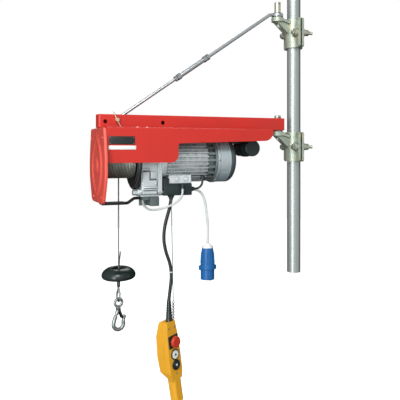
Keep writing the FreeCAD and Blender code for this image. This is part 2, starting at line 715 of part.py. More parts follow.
def gear_train():
    """Two coaxial spur stages: motor pinion, layshaft below, gear on the drum's shaft."""
    axis = value("drum_axis")
    low = axis - value("gear_drop")
    module, pinion, wheel = STAGE_TWO
    down_gap = math.pi + math.pi / wheel
    drum_gear = gear_shape(module, wheel, 14, value("shaft_round"), down_gap)
    node(solid("big_wheel", drum_gear, Vector(-575, 0, axis)), "drum_gear")
    small = solid("lay_pinion", gear_shape(module, pinion, 16, 0, 0), Vector(-576, 0, low))
    journal = rod("lay_journal", 6, 60, ("-586", "0", "drum_axis - gear_drop"), "x")
    node(fuse("lay_all", small, journal), "layshaft")
    module, pinion, wheel = STAGE_ONE
    first = gear_shape(module, wheel, 11, 6, math.pi / wheel)
    first_gear = solid("first_wheel", first, Vector(-556, 0, low))
    node(first_gear, "first_stage_gear")
    tooth_down = math.pi
    rotor_pinion = solid("rotor_pinion", gear_shape(module, pinion, 16, 0, tooth_down),
                         Vector(-558, 0, axis))
    shaft = rod("rotor_spindle", "axle_round", "580 - bell_right", ("-542", "0", "drum_axis"), "x")
    core = rod("rotor_body", "rotor_round", 85, ("-480", "0", "drum_axis"), "x")
    rings = [rod("rotor_ring_%d" % number, "rotor_round - 6", 8, (start, "0", "drum_axis"), "x")
             for number, start in enumerate((-488, -395))]
    node(fuse("rotor_all", rotor_pinion, shaft, core, *rings), "rotor_shaft")


def case_outline():
    return rectangle(("-case_half", "case_half"), ("case_foot", "case_top"))


def gearbox_case():
    """Cast housing, open toward the motor, with a raised L on its front face and a drain plug."""
    body = slab("case_body", "YZ_Plane", case_outline(), "case_left - case_split",
                ("-(case_left + case_split) / 2", "0", "0"))
    soften(body, "case_round", 16, lambda edge: along(edge, "x"))
    inside = block("case_inside", (
        "case_left - case_split", "2 * (case_half - case_wall)", "case_top - case_foot - 2 * case_wall"),
        ("-case_left + 10", "-case_half + case_wall", "case_foot + case_wall"))
    inside = rounded("case_inside_round", inside, 10, lambda edge: along(edge, "x"))
    bosses = [rod("case_boss_%d" % number, 9, "case_left - case_split", ("-case_left", side, level), "x")
              for number, (side, level) in enumerate(CASE_SCREWS)]
    relief = slab("case_relief", "XZ_Plane", (
        ("-584", "302"), ("-538", "302"), ("-538", "345"), ("-562", "345"),
        ("-562", "372"), ("-584", "372")), 6, ("0", "-case_half", "0"))
    soften(relief, "relief_round", 1.4, lambda edge: at_level(edge, "y", -3))
    foot_flange = block("case_flange", ("case_left - case_split", "2 * case_half - 20", 6),
                        ("-case_left", "-case_half + 10", "case_foot - 4"))
    plug_boss = rod("drain_boss", 12, 8, ("-case_left - 8", "-30", "case_foot + 9"), "x")
    plug = hexagon("drain_hex", 9.5, 14, ("-case_left - 22", "-30", "case_foot + 9"), "x")
    all_solid = fuse("case_all", body, relief, foot_flange, plug_boss, plug)
    hollow = cut("case_hollow", inside, *bosses)
    seats = [rod("drum_seat", 23.5, 20, ("-case_left - 1", "0", "drum_axis"), "x"),
             rod("lay_seat", 14, 20, ("-case_left + 2", "0", "drum_axis - gear_drop"), "x")]
    threads = [rod("case_thread_%d" % number, 3, 20, ("-case_split - 11", side, level), "x")
               for number, (side, level) in enumerate(CASE_SCREWS)]
    node(cut("case_cut", all_solid, hollow, *(seats + threads)), "gearbox_case")


def gearbox_cover():
    body = slab("gearcover_body", "YZ_Plane", rectangle(
        ("-case_half - 4", "case_half + 4"), ("case_foot - 2", "case_top + 2")),
        "case_split - case_right", ("-(case_split + case_right) / 2", "0", "0"))
    soften(body, "gearcover_round", 16, lambda edge: along(edge, "x"))
    lay_seat = rod("lay_cover_seat", 14, 8, ("-case_split", "0", "drum_axis - gear_drop"), "x")
    passage = rod("pinion_passage", 12, 60, ("-case_split - 20", "0", "drum_axis"), "x")
    threads = [rod("cover_thread_%d" % number, 3, 40, ("-case_split - 11", side, level), "x")
               for number, (side, level) in enumerate(CASE_SCREWS)]
    node(cut("gearcover_cut", body, lay_seat, passage, *threads), "gearbox_cover")


def ball_bearings():
    """Outer radius, bore radius, width, start along X and height of each bearing."""
    low = "drum_axis - gear_drop"
    rings = ((23.5, "shaft_round + 0.05", 12, -714, "drum_axis"),
             (23.5, "shaft_round + 0.05", 12, -588, "drum_axis"),
             (14, 6.05, 8, -586, low), (14, 6.05, 8, -534, low),
             (17.5, "axle_round + 0.05", 11, -519, "drum_axis"),
             (17.5, "axle_round + 0.05", 11, "-bell_right - 20", "drum_axis"))
    made = [tube("bearing_%d" % number, outer, inner, wide, (start, "0", level), "x")
            for number, (outer, inner, wide, start, level) in enumerate(rings)]
    node(group("bearing_set", *made), "ball_bearings")


# ---------------------------------------------------------------- motor

FIN_COUNT = 36


def turned_ring(name, count, outer, inner, thick, start, long):
    """A polar pattern of fins about the motor's axis, as one body."""
    body = doc.addObject("PartDesign::Body", name)
    pad = body.newObject("PartDesign::Pad", name + "_ring")
    drawing = body.newObject("Sketcher::SketchObject", name + "_circles")
    drawing.AttachmentSupport = [(plane(body, "YZ_Plane"), "")]
    drawing.MapMode = "FlatFace"
    for number, formula in enumerate((outer, inner)):
        circle = Part.Circle(Vector(), Vector(0, 0, 1), value(formula))
        drawing.addGeometry(circle)
        drawing.addConstraint(Sketcher.Constraint("Coincident", number, 3, -1, 1))
        limit = drawing.addConstraint(Sketcher.Constraint("Radius", number, value(formula)))
        drawing.setExpression("Constraints[%d]" % limit, linked(formula))
    pad.Profile = drawing
    bind(pad, Length=long)
    fin = body.newObject("PartDesign::Pad", name + "_fin")
    fin.Profile = outline(body, name + "_fin_outline", "YZ_Plane", rectangle(
        ("%s - 1" % outer, thick[0]), ("-%s / 2" % thick[1], "%s / 2" % thick[1])))
    bind(fin, Length=long)
    body.Tip = fin
    doc.recompute()
    pattern = body.newObject("PartDesign::PolarPattern", name + "_pattern")
    pattern.Originals = [fin]
    pattern.Axis = (plane(body, "X_Axis"), [""])
    pattern.Angle = 360
    pattern.Occurrences = count
    body.Tip = pattern
    return place(body, (start, "0", "drum_axis"))


def motor_housing():
    """Ribbed aluminium frame with its front end shield and the saddle of the terminal base."""
    ribs = turned_ring("housing_ribs", FIN_COUNT, "motor_round", "motor_bore",
                       ("fin_round", "fin_thick"), "-505", "505 - housing_right")
    flange = rod("housing_flange", "fin_round - 1", 16, ("-case_right", "0", "drum_axis"), "x")
    flange = rounded("housing_flange_soft", flange, 3, lambda edge: at_level(
        edge, "x", -value("case_right") + 16))
    seat = rod("front_seat", 17.5, 20, ("-519", "0", "drum_axis"), "x")
    way = rod("front_way", 9, 60, ("-540", "0", "drum_axis"), "x")
    body = fuse("housing_all", cut("front_shield", flange, seat, way), ribs)
    heads = [rod("housing_recess_%d" % number, 8.2, 6, ("-case_right - 0.1", side, level), "x")
             for number, (side, level) in enumerate(CASE_SCREWS)]
    node(cut("housing_cut", body, *heads), "motor_housing")


def stator():
    core = tube("stack", "motor_bore", "rotor_round + 0.5", 85, ("-480", "0", "drum_axis"), "x")
    coils = []
    for number, start in enumerate((-497, -395)):
        ring = tube("coil_%d" % number, "motor_bore - 5", "rotor_round + 5", 17,
                    (start, "0", "drum_axis"), "x")
        coils.append(rounded("coil_soft_%d" % number, ring, 4, lambda edge: True))
    node(group("stator_set", core, *coils), "stator_core")


SLOT_COUNT = 20


def end_bell():
    """Slotted rear shield that carries the rear bearing."""
    ring = turned_ring("bell_ribs", SLOT_COUNT, "motor_round - 3", "motor_round - 9",
                       ("fin_round - 2", "8"), "-housing_right", "housing_right - bell_right")
    lip = tube("bell_lip", "fin_round + 0.5", "motor_round - 9", 7, ("-bell_right - 7", "0", "drum_axis"),
               "x")
    disc = tube("bell_disc", "motor_round - 5", 17.5, 10, ("-bell_right - 20", "0", "drum_axis"), "x")
    wall = tube("bell_wall", 24, 9, 3, ("-bell_right - 9", "0", "drum_axis"), "x")
    hub = tube("bell_hub", 24, 17.5, 12, ("-bell_right - 21", "0", "drum_axis"), "x")
    node(fuse("bell_all", ring, lip, disc, wall, hub), "end_bell")


BLADE_COUNT = 8


def cooling_fan():
    hub = tube("fan_hub", 15, "axle_round", 28, ("-bell_right + 9", "0", "drum_axis"), "x")
    disc = tube("fan_disc", 48, 14, 3, ("-bell_right + 9", "0", "drum_axis"), "x")
    blades = []
    for number in range(BLADE_COUNT):
        blade = block("blade_%d" % number, (24, 3, 48), ("0", "-1.5", "12"))
        frame = group("blade_frame_%d" % number, blade)
        turn = Rotation(Vector(1, 0, 0), 360.0 * number / BLADE_COUNT)
        blades.append(place(frame, ("-bell_right + 10", "0", "drum_axis"), turn))
    node(fuse("fan_all", hub, disc, *blades), "cooling_fan")


def fan_cowl():
    """Sheet cowl with a rounded rear rim and a ring of air slots in its rear face."""
    long = "bell_right - cowl_right"
    outer = rod("cowl_outer", "cowl_round", long, ("-bell_right", "0", "drum_axis"), "x")
    outer = rounded("cowl_outer_soft", outer, 20, lambda edge: at_level(
        edge, "x", -value("cowl_right")))
    inner = rod("cowl_inner", "cowl_round - 2", "%s - 2" % long, ("-bell_right", "0", "drum_axis"), "x")
    inner = rounded("cowl_inner_soft", inner, 18, lambda edge: at_level(
        edge, "x", -value("cowl_right") - 2))
    lip = tube("cowl_lip", "cowl_round + 0.8", "cowl_round - 1", 10, ("-bell_right", "0", "drum_axis"),
               "x")
    slots = []
    for ring, (reach, count) in enumerate(((20, 8), (33, 12), (46, 16))):
        for number in range(count):
            hole = block("air_%d_%d" % (ring, number), (12, 7, 7), ("0", "-3.5", reach - 3.5))
            turn = Rotation(Vector(1, 0, 0), 360.0 * number / count)
            slots.append(place(group("air_frame_%d_%d" % (ring, number), hole),
                               ("-cowl_right - 8", "0", "drum_axis"), turn))
    shell = cut("cowl_shell", fuse("cowl_all", outer, lip), inner, group("air_slots", *slots))
    node(shell, "fan_cowl")


# ---------------------------------------------------------------- electrics

def terminal_base():
    """Grey terminal cover on the motor, with two blanked entries on its front face."""
    body = block("base_block", (78, 40, 31), ("-497", "-55", "box_top"))
    body = rounded("base_soft", body, 3, lambda edge: at_level(edge, "y", -55))
    rings = [tube("knockout_%d" % number, 9, 7.4, 3, (reach, "-56.2", "348"), "y")
             for number, reach in enumerate((-470, -438.5))]
    body = fuse("base_all", body, *rings)
    motor = rod("base_motor_bore", "fin_round + 0.2", 120, ("-520", "0", "drum_axis"), "x")
    node(cut("base_cut", body, motor), "terminal_base")


def control_box():
    """Black switchgear box under the motor, its drum end stepped up beside the terminal base."""
    body = block("box_block", ("box_left - box_right", 62, "box_top - box_foot"),
                 ("-box_left", "-box_front", "box_foot"))
    step = block("box_step", (18, 30, 19), ("-box_left", "-box_front", "box_top"))
    body = fuse("box_all", body, step)
    body = rounded("box_soft", body, 2.5, lambda edge: along(edge, "z") or at_level(
        edge, "z", value("box_foot")))
    hollow = block("box_hollow", ("box_left - box_right - 6", 56, "box_top - box_foot - 6"),
                   ("-box_left + 3", "-box_front + 3", "box_foot + 3"))
    motor = rod("box_motor_bore", "fin_round + 0.2", 120, ("-520", "0", "drum_axis"), "x")
    node(cut("box_cut", body, hollow, motor), "control_box")


def gland(name, at, axis, long, radius):
    collar = hexagon(name + "_collar", radius + 4, long * 0.4, at, axis)
    shift = {"x": (long * 0.4, 0, 0), "z": (0, 0, long * 0.4)}[axis]
    tip = [a + b for a, b in zip(at, shift)]
    dome = cone(name + "_dome", radius + 3, radius + 0.8, long * 0.6, tip, axis)
    return fuse(name, collar, dome)


MAINS_EXIT = (-403, -22, 311)
MOTOR_EXIT = (-405.5, -45, 314)


def cable_glands():
    """Glands on the control box, the front spout of the switch lead and the motor's grommet."""
    mains = gland("mains_gland", (-419, MAINS_EXIT[1], MAINS_EXIT[2]), "x", 16, 4)
    motor = gland("motor_gland", (-419, MOTOR_EXIT[1], MOTOR_EXIT[2]), "x", 13.5, 5)
    hexa = hexagon("pendant_gland_hex", 11.5, 6, (-481, -30, 289))
    dome = cone("pendant_gland_dome", 6.3, 9, 8, (-481, -30, 281))
    spout = fuse("front_spout", rod("spout_root", 4.5, 12, (-456, -72, 324), "y"),
                 rod("spout_tip", 6, 12, (-456, -72, 318)))
    grommet = cut("motor_grommet", rod("grommet_body", 7, 14, (-376.3, -46, 343)),
                  rod("grommet_clear", "fin_round + 0.2", 60, ("-400", "0", "drum_axis"), "x"))
    node(group("gland_set", mains, motor, fuse("pendant_gland", hexa, dome), spout, grommet),
         "cable_glands")


def capacitor():
    can = rod("can", "cap_round", 108, ("-cap_centre", "-60", "cap_height"), "y")
    can = rounded("can_soft", can, 4, lambda edge: True)
    grooves = [tube("can_groove_%d" % number, "cap_round + 5", "cap_round - 1.5", 3,
                    ("-cap_centre", start, "cap_height"), "y")
               for number, start in enumerate((-38, -31))]
    node(cut("can_cut", can, *grooves), "capacitor")
    band = tube("strap_band", "cap_round + 2", "cap_round", 18, ("-cap_centre", "-9", "cap_height"), "y")
    tab = block("strap_tab", (14, 18, "arm_foot - sheet_thick - cap_height - cap_round"),
                ("-cap_centre - 7", "-9", "cap_height + cap_round"))
    node(fuse("strap_all", band, cut("strap_tab_cut", tab, rod(
        "strap_clear", "cap_round", 60, ("-cap_centre", "-30", "cap_height"), "y"))),
        "capacitor_strap")


def limit_switch():
    """Rope limit switch under the gearbox, with the plate and pin that carry its lever."""
    box = block("switch_box", (30, 34, 32), (-538, 12, 256))
    box = rounded("switch_soft", box, 2.5, lambda edge: along(edge, "y"))
    mount = block("switch_mount", (18, 30, 7), (-532, 14, 286))
    entry = block("switch_entry", (26, 16, 17), (-564, 21, 276))
    plate = block("switch_plate", (56, 3, 38), (-564, 57, 255))
    foot = block("switch_foot", (20, 14, 8), (-532, 44, 285))
    tongue = block("switch_tongue", (30, 12, 20), (-538, 45.5, 258))
    pin = rod("lever_pin", 3, 22, ("-lever_reach", "36.5", "lever_height"), "y")
    node(fuse("switch_all", box, mount, entry, plate, foot, tongue, pin), "limit_switch")


FORK_SIDES = (40.0, 71.0)


def limit_lever():
    """Bent bar lever: the fork stands round the rope and the counterweight lifts it."""
    centre = 47.0
    high, low = value("lever_height"), value("fork_height")
    pivot = -value("lever_reach")
    wire = path_wire([(pivot - 5, centre, high), (-584, centre, high), (-606, centre, low),
                      (-617, centre, low)], [20, 16])
    bar = solid("lever_bar", swept(wire, value("bar_round") + 0.6))
    front, rear = FORK_SIDES
    fork_wire = path_wire([(-694, front, low), (-617, front, low), (-617, rear, low),
                           (-694, rear, low)], [9, 9])
    fork = solid("lever_fork", swept(fork_wire, value("bar_round")))
    hub = rod("lever_hub", 8, 15, ("-lever_reach", "40", "lever_height"), "y")
    toe = block("lever_toe", (12, 8, 6), ("-lever_reach + 2", "43", "lever_height - 3"))
    hole = rod("lever_hole", 3.3, 60, ("-lever_reach", "20", "lever_height"), "y")
    node(cut("lever_cut", fuse("lever_all", bar, fork, hub, toe), hole), "limit_lever")


# ---------------------------------------------------------------- rope, counterweight and hook

HOOK_TURN = 12.0
FALL = (-634.5, 55.5)


def rope_fall():
    node(rod("fall_run", "rope_round", "fall_top - 12", ("-fall_reach", "fall_side", "12")),
         "rope_fall")


def counterweight():
    """Rubber dome that hangs on the rope and hangs a little askew."""
    profile = (("17", "-dome_tall / 2 + 6"), ("dome_round - 8", "-dome_tall / 2"),
               ("dome_round - 1", "-dome_tall / 2 + 3"), ("dome_round", "-dome_tall / 2 + 9"),
               ("dome_round - 3", "-3"), ("dome_round - 12", "9"), ("dome_round - 24", "17"),
               ("25", "dome_tall / 2"), ("19", "dome_tall / 2 - 3"), ("17", "8"))
    tilt = Rotation(Vector(0, 1, 0), -2) * Rotation(Vector(1, 0, 0), 2)
    dome = lathe("dome_body", profile, ("-fall_reach", "fall_side", "dome_centre"), tilt)
    soften(dome, "dome_soft", 1.5, lambda edge: edge.BoundBox.XLength > 30)
    collar = cut("dome_collar",
                 rod("collar_disc", 18, 18, ("-fall_reach", "fall_side", "dome_centre - 25.2")),
                 rod("collar_rope_way", "rope_round + 0.4", 30, ("-fall_reach", "fall_side", "0")),
                 rod("collar_tail_way", "rope_round + 0.7", 30,
                     ("-fall_reach + 3.1", "fall_side + 5.3", "0")))
    node(fuse("dome_all", dome, collar), "counterweight")


def rope_clamp():
    """Pressed ferrule under the counterweight."""
    body = rod("ferrule_body", 5.5, 22, ("-fall_reach", "fall_side", "-11"))
    node(rounded("ferrule_soft", body, 2, lambda edge: True), "rope_ferrule")


def rope_eye():
    """Rope loop on its thimble, from the ferrule to the hook, with the rope's dead end."""
    turn = math.radians(HOOK_TURN)
    side = Vector(-math.sin(turn), math.cos(turn), 0)
    centre = Vector(FALL[0], FALL[1], 0)

    def spot(across, up):
        return tuple(centre + side * across + Vector(0, 0, up))

    low = value("link_height")
    left = path_wire([spot(0, -10), spot(-1, -15), spot(-13, -33), spot(-13.5, low), spot(0, low)],
                     [8, 14, 12.5])
    right = path_wire([spot(0, -10), spot(1, -15), spot(13, -33), spot(13.5, low), spot(0, low)],
                      [8, 14, 12.5])
    loop = fuse("eye_loop", solid("eye_left", swept(left, 3.2)), solid("eye_right", swept(right, 3.2)))
    tail_wire = path_wire([(FALL[0] + 3, FALL[1] + 5.2, 11), (FALL[0] + 3.6, FALL[1] + 6, 60),
                           (FALL[0] + 8, FALL[1] + 6.5, 105)], [200])
    tail = solid("rope_tail", swept(tail_wire, value("rope_round")))
    node(group("eye_set", loop, tail), "rope_eye")


def hook_line():
    """Centre line of the hook's bar: tip, round bowl, and neck up to the ring."""
    bowl = value("hook_bowl")
    middle = value("hook_centre")
    top = ring_height()

    def on_bowl(degrees):
        angle = math.radians(degrees)
        return Vector(bowl * math.cos(angle), 0, middle + bowl * math.sin(angle))

    arc = Part.Arc(on_bowl(20), on_bowl(-95), on_bowl(-190)).toShape()
    tip = Part.Arc(on_bowl(20), Vector(bowl + 0.4, 0, middle + 14), hook_tip())
    neck_start = on_bowl(-190)
    neck = Part.BezierCurve()
    neck.setPoles([neck_start, neck_start + Vector(3, 0, 17), Vector(-2, 0, top - 30),
                   Vector(0, 0, top - 15)])
    return Part.Wire(Part.__sortEdges__([tip.toShape(), arc, neck.toShape()]))


def ring_height():
    return value("link_height") - 4.5


def hook_tip():
    return Vector(value("hook_bowl") + 2.5, 0, value("hook_centre") + 22)


def hook_lug(radius, wide):
    """Lug on the hook's neck that the latch is hinged to."""
    return Part.makeCylinder(radius, wide, Vector(-1, -wide / 2, ring_height() - 21), Vector(0, 1, 0))


def load_hook():
    """Eye hook: ring, neck and round bowl, turned toward the front."""
    bar = value("hook_bar")
    ring = Part.makeTorus(13, 4.5, Vector(0, 0, ring_height()), Vector(0, 1, 0))
    whole = ring.fuse([swept(hook_line(), bar), Part.makeSphere(bar, hook_tip()), hook_lug(6.5, 13.4)])
    hole = Part.makeCylinder(1.8, 30, Vector(1, -15, ring_height() - 22), Vector(0, 1, 0))
    node(solid("hook_part", whole.cut(hole), Vector(FALL[0], FALL[1], 0),
               Rotation(Vector(0, 0, 1), HOOK_TURN)), "load_hook")


LATCH_GAP = 0.4


def hook_latch():
    """Sprung gate across the hook's mouth, with its hinge pin."""
    start = Vector(1, 0, ring_height() - 22)
    end = Vector(value("hook_bowl") - 6, 0, value("hook_centre") + 19)
    reach = end - start
    plate = Part.makeBox(5, 17, reach.Length, Vector(-2.5, -8.5, 0))
    inner = Part.makeBox(9, 14.2, reach.Length, Vector(-1.2, -7.1, -reach.Length * 0.12))
    pin = Part.makeCylinder(1.7, 18, Vector(0, -9, 0), Vector(0, 1, 0))
    cheeks = Part.makeCylinder(3.6, 17, Vector(0, -8.5, 0), Vector(0, 1, 0)).cut(
        Part.makeCylinder(3.7, 14.2, Vector(0, -7.1, 0), Vector(0, 1, 0)))
    gate = plate.cut(inner).fuse(cheeks)
    lean = Rotation(Vector(0, 0, 1), reach)
    gate.Placement = Placement(start, lean)
    pin.Placement = Placement(start, lean)
    bar = value("hook_bar")
    ways = [Part.makeSphere(bar + LATCH_GAP, hook_tip())]
    for degrees in (0, -7, -14, -21):
        for way in (swept(hook_line(), bar + LATCH_GAP), hook_lug(6.5 + LATCH_GAP, 14.2)):
            way.rotate(start, Vector(0, 1, 0), degrees)
            ways.append(way)
    gate = gate.cut(ways)
    node(solid("latch_part", gate.fuse(pin), Vector(FALL[0], FALL[1], 0),
               Rotation(Vector(0, 0, 1), HOOK_TURN)), "hook_latch")


# ---------------------------------------------------------------- pendant control

CHAIN_AT = (-478.0, -43.9)
CHAIN_TOP = -52.0
CHAIN_FOOT = -104.3
LINK_ROUND = 3.8
LINK_WIRE = 0.95
GRIP_AT = Vector(-497.4, -33.6, -113)
GRIP_TURN = Rotation(Vector(0, 1, 0), -7) * Rotation(Vector(0, 0, 1), 26)
FRONT = -20.0
BUTTONS = (("emergency_stop", -64, 18, 15), ("up_button", -107, 13.5, 4),
           ("down_button", -141, 13.5, 4))
BOOT_TOP = Vector(-488.5, -30, -47)
BOOT_FOOT = GRIP_AT + GRIP_TURN.multVec(Vector(4.5, -6, -8))


def grip_side(inset):
    """Side outline: flat front, bulging back."""
    return ((FRONT + inset, 0 - inset), (18 - inset, 0 - inset), (34 - inset, -50),
            (36 - inset, -115), (31 - inset, -165 + inset), (6, -183 + inset),
            (FRONT + inset, -190 + inset))


def grip_front(inset):
    """Front outline: narrow at the top, widest beside the lowest button."""
    half = ((18, 0), (23, -45), (26.3, -110), (26.3, -165), (19, -200))
    right = [(wide - inset, up) for wide, up in half]
    return right + [(-wide, up) for wide, up in reversed(right)]


def grip_solid(name, inset):
    side = slab(name + "_side", "YZ_Plane", grip_side(inset), 90)
    front = slab(name + "_front", "XZ_Plane", grip_front(inset), 160)
    if not inset:
        soften(side, name + "_side_soft", 7, lambda edge: along(edge, "x") and
               edge.BoundBox.Center.y > 0)
    return common(name + "_core", side, front)


def pendant_shells():
    """Two shells that meet behind the front face; the handle grows out of the lower front."""
    outer = grip_solid("grip_outer", 0)
    handle = slab("grip_handle", "YZ_Plane", (
        (FRONT, -178), (FRONT + 34, -178), (FRONT + 30, -262), (FRONT - 2, -262)), 36)
    soften(handle, "handle_soft", 9, lambda edge: abs(edge.BoundBox.ZLength) > 60)
    whole = fuse("grip_whole", outer, handle)
    hollow = grip_solid("grip_inner", 3)
    openings = [rod("button_way_%d" % number, (10.9 if number == 0 else radius + 0.4), 12,
                    (0, FRONT - 4, level), "y")
                for number, (label, level, radius, proud) in enumerate(BUTTONS)]
    collar = rod("boot_way", 12, 20, (5, -6, -10))
    shell = cut("grip_shell", whole, hollow, collar, *openings)
    seam = FRONT + value("grip_split")
    halves = (("pendant_front_shell", -100.0, 100 + seam), ("pendant_back_shell", seam, 100.0))
    for label, start, deep in halves:
        keep = block(label + "_keep", (200, deep, 400), (-100, start, -330))
        half = common(label + "_half", shell, keep)
        made = group(label + "_group", half)
        made.Placement = Placement(GRIP_AT, GRIP_TURN)
        if label == "pendant_front_shell":
            made = fuse("front_shell_all", made, chain_lug())
        node(made, label)


def chain_lug():
    """Small drilled lug on the pendant's top that the chain's last link passes through."""
    across, deep = CHAIN_AT
    level = CHAIN_FOOT - LINK_ROUND
    plate = block("chain_lug_plate", (2.5, 5.2, 8), (across - 1.25, deep - 2.6, level - 4.8))
    return cut("chain_lug", plate, rod("chain_lug_hole", 1.6, 10, (across - 5, deep, level), "x"))


def pendant_buttons():
    """A mushroom stop button on its square guard, and two short travel buttons."""
    for number, (label, level, radius, proud) in enumerate(BUTTONS):
        if number == 0:
            stem = rod("stop_stem", 10.5, 20, (0, FRONT - 10, level), "y")
            head = rod("stop_head", radius, 9, (0, FRONT - proud - 2, level), "y")
            head = rounded("stop_head_soft", head, 3.5, lambda edge: at_level(
                edge, "y", FRONT - BUTTONS[0][3] - 2))
            made = fuse("stop_all", stem, head)
        else:
            cap = rod(label + "_cap", radius, 16, (0, FRONT - proud, level), "y")
            made = rounded(label + "_soft", cap, 1.2, lambda edge: at_level(edge, "y", FRONT - 4))
        made = group(label + "_group", made)
        made.Placement = Placement(GRIP_AT, GRIP_TURN)
        node(made, label)


def contact_blocks():
    """Switch contacts inside the pendant, one behind each button."""
    blocks = [block("contact_%d" % number, (22, 16, 22), (-11, 9.5 if number == 0 else 5.5, level - 11))
              for number, (label, level, radius, proud) in enumerate(BUTTONS)]
    made = group("contact_group", *blocks)
    made.Placement = Placement(GRIP_AT, GRIP_TURN)
    node(made, "contact_blocks")


def cable_boot():
    """Tapered rubber boot where the cable enters the pendant."""
    line = BOOT_FOOT - BOOT_TOP
    node(solid("boot_part", Part.makeCone(6.3, 11, line.Length, BOOT_TOP, line)), "cable_boot")


def suspension_line():
    """Thin steel strain line and a short chain that carry the pendant beside its cable."""
    across, deep = CHAIN_AT
    start = Vector(across, deep, CHAIN_TOP + LINK_ROUND - 1)
    line = Vector(-485, -43, value("box_foot") - 0.3) - start
    wire = solid("strain_wire", Part.makeCylinder(1.2, line.Length, start, line))
    links = []
    count = 11
    for number in range(count):
        level = CHAIN_TOP + (CHAIN_FOOT - CHAIN_TOP) * number / (count - 1)
        ring = torus("chain_%d" % number, LINK_ROUND, LINK_WIRE, (across, deep, level),
                     "x" if number % 2 else "y")
        links.append(ring)
    node(group("line_set", wire, *links), "suspension_line")


PENDANT_CABLE = [(-481, -30, 281), (-484.5, -30, 256), (-494, -30, 226), (-503.5, -30, 190),
                 (-506.5, -30, 150), (-499, -30, 110), (-484.5, -30, 73), (-479, -30, 35),
                 (-483, -30, -6), (-488.5, -30, -47)]
MAINS_LEAD = [(-403, -22, 311), (-391, -22, 310), (-378, -23, 304), (-367, -25, 291),
              (-359.5, -26.5, 270), (-356, -28, 241), (-352, -29, 205), (-349.5, -30, 168),
              (-352, -30, 131)]
SWITCH_LEAD = [(-456, -72, 318), (-456.5, -73, 302), (-461, -69, 286), (-474, -58, 271),
               (-496, -42, 257), (-518, -12, 247), (-538, 12, 243), (-549, 23, 249),
               (-558, 28.5, 260), (-560, 29.5, 276)]
MOTOR_LEAD = [(-405.5, -45, 314), (-396, -45, 314.7), (-387.2, -45.3, 318.2),
              (-380.5, -45.6, 324.9), (-377, -45.8, 333.7), (-376.3, -46, 343)]


def cords():
    cord("pendant_cable", PENDANT_CABLE, 5.5)
    cord("mains_lead", MAINS_LEAD, 4)
    cord("limit_switch_lead", SWITCH_LEAD, 3.5)
    cord("motor_lead", MOTOR_LEAD, 3.5)


PLUG_REACH = -352.0


def mains_plug():
    """Round three pin industrial plug hanging on the mains lead, open at its lower end."""
    spot = (PLUG_REACH, "-30")
    cap = cone("plug_cap_body", 17, 7, 12, spot + ("plug_top - 12",))
    cap = rounded("plug_cap_soft", cap, 1.5, lambda edge: at_level(edge, "z", value("plug_top")))
    node(cap, "plug_cap")
    profile = (("0", "-12"), ("17.5", "-12"), ("20.5", "-30"), ("23.5", "-74"), ("25.5", "-76"),
               ("25.5", "-86"), ("23", "-88"), ("23", "-121"), ("19.5", "-121"),
               ("19.5", "-84"), ("0", "-84"))
    body = lathe("plug_body", profile, spot + ("plug_top",), Rotation(Vector(0, 0, 1), 40))
    key = block("plug_key", (8, 6, 34), (PLUG_REACH - 4, "-56", "plug_top - 121"))
    tabs = [block("plug_tab_%d" % number, (8, 12, 14), (start, "-36", "plug_top - 89"))
            for number, start in enumerate((PLUG_REACH - 29.5, PLUG_REACH + 21.5))]
    keep = rod("plug_mouth", 19.5, 60, spot + ("plug_top - 140",))
    shell = fuse("plug_shell", body, *[cut("plug_trim_%d" % number, extra, keep)
                                       for number, extra in enumerate([key] + tabs)])
    pins = []
    for number in range(3):
        angle = math.radians(90 + 120 * number)
        pins.append(rod("plug_pin_%d" % number, 3 if number == 0 else 2.5, 39,
                        (PLUG_REACH + 11 * math.cos(angle), -30 + 11 * math.sin(angle), "plug_top - 118")))
    node(fuse("plug_with_pins", shell, *pins), "mains_plug")


# ---------------------------------------------------------------- build, check and write

def build():
    fill_sheet()
    support_pole()
    clamp_body("lower_clamp_body", "clamp_foot_low")
    clamp_body("upper_clamp_body", "clamp_foot_high")
    clamp_cap("lower_clamp_cap", "clamp_foot_low")
    clamp_cap("upper_clamp_cap", "clamp_foot_high")
    clamp_fasteners()
    pivot_pins()
    swing_arm()
    pivot_bush()
    hoist_frame()
    end_cover()
    tie_rod()
    tie_rod_pin()
    hex_screws()
    rope_drum()
    gear_train()
    gearbox_case()
    gearbox_cover()
    ball_bearings()
    motor_housing()
    stator()
    end_bell()
    cooling_fan()
    fan_cowl()
    terminal_base()
    control_box()
    cable_glands()
    capacitor()
    limit_switch()
    limit_lever()
    rope_fall()
    counterweight()
    rope_clamp()
    rope_eye()
    load_hook()
    hook_latch()
    pendant_shells()
    pendant_buttons()
    contact_blocks()
    cable_boot()
    suspension_line()
    cords()
    mains_plug()
    doc.recompute()


def check():
    bad = [item.Name for item in doc.Objects if "Invalid" in item.State or "Error" in item.State]
    assert not bad, bad
    labels = [item.Label for _, item in parts]
    assert labels == [label for label, _ in parts], "a label was changed"
    assert len(set(labels)) == len(labels) <= 60, len(labels)
    faulty = [label for label, item in parts
              if item.Shape.isNull() or not item.Shape.isValid() or not item.Shape.Solids]
    assert not faulty, faulty


def write():
    os.makedirs("parts", exist_ok=True)
    for label, item in parts:
        item.Shape.exportStep("parts/%s.step" % label)
    print("wrote %d sub-parts" % len(parts))


build()
check()
write()
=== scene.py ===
import json
import math

import bmesh
import bpy
from mathutils import Matrix, Vector


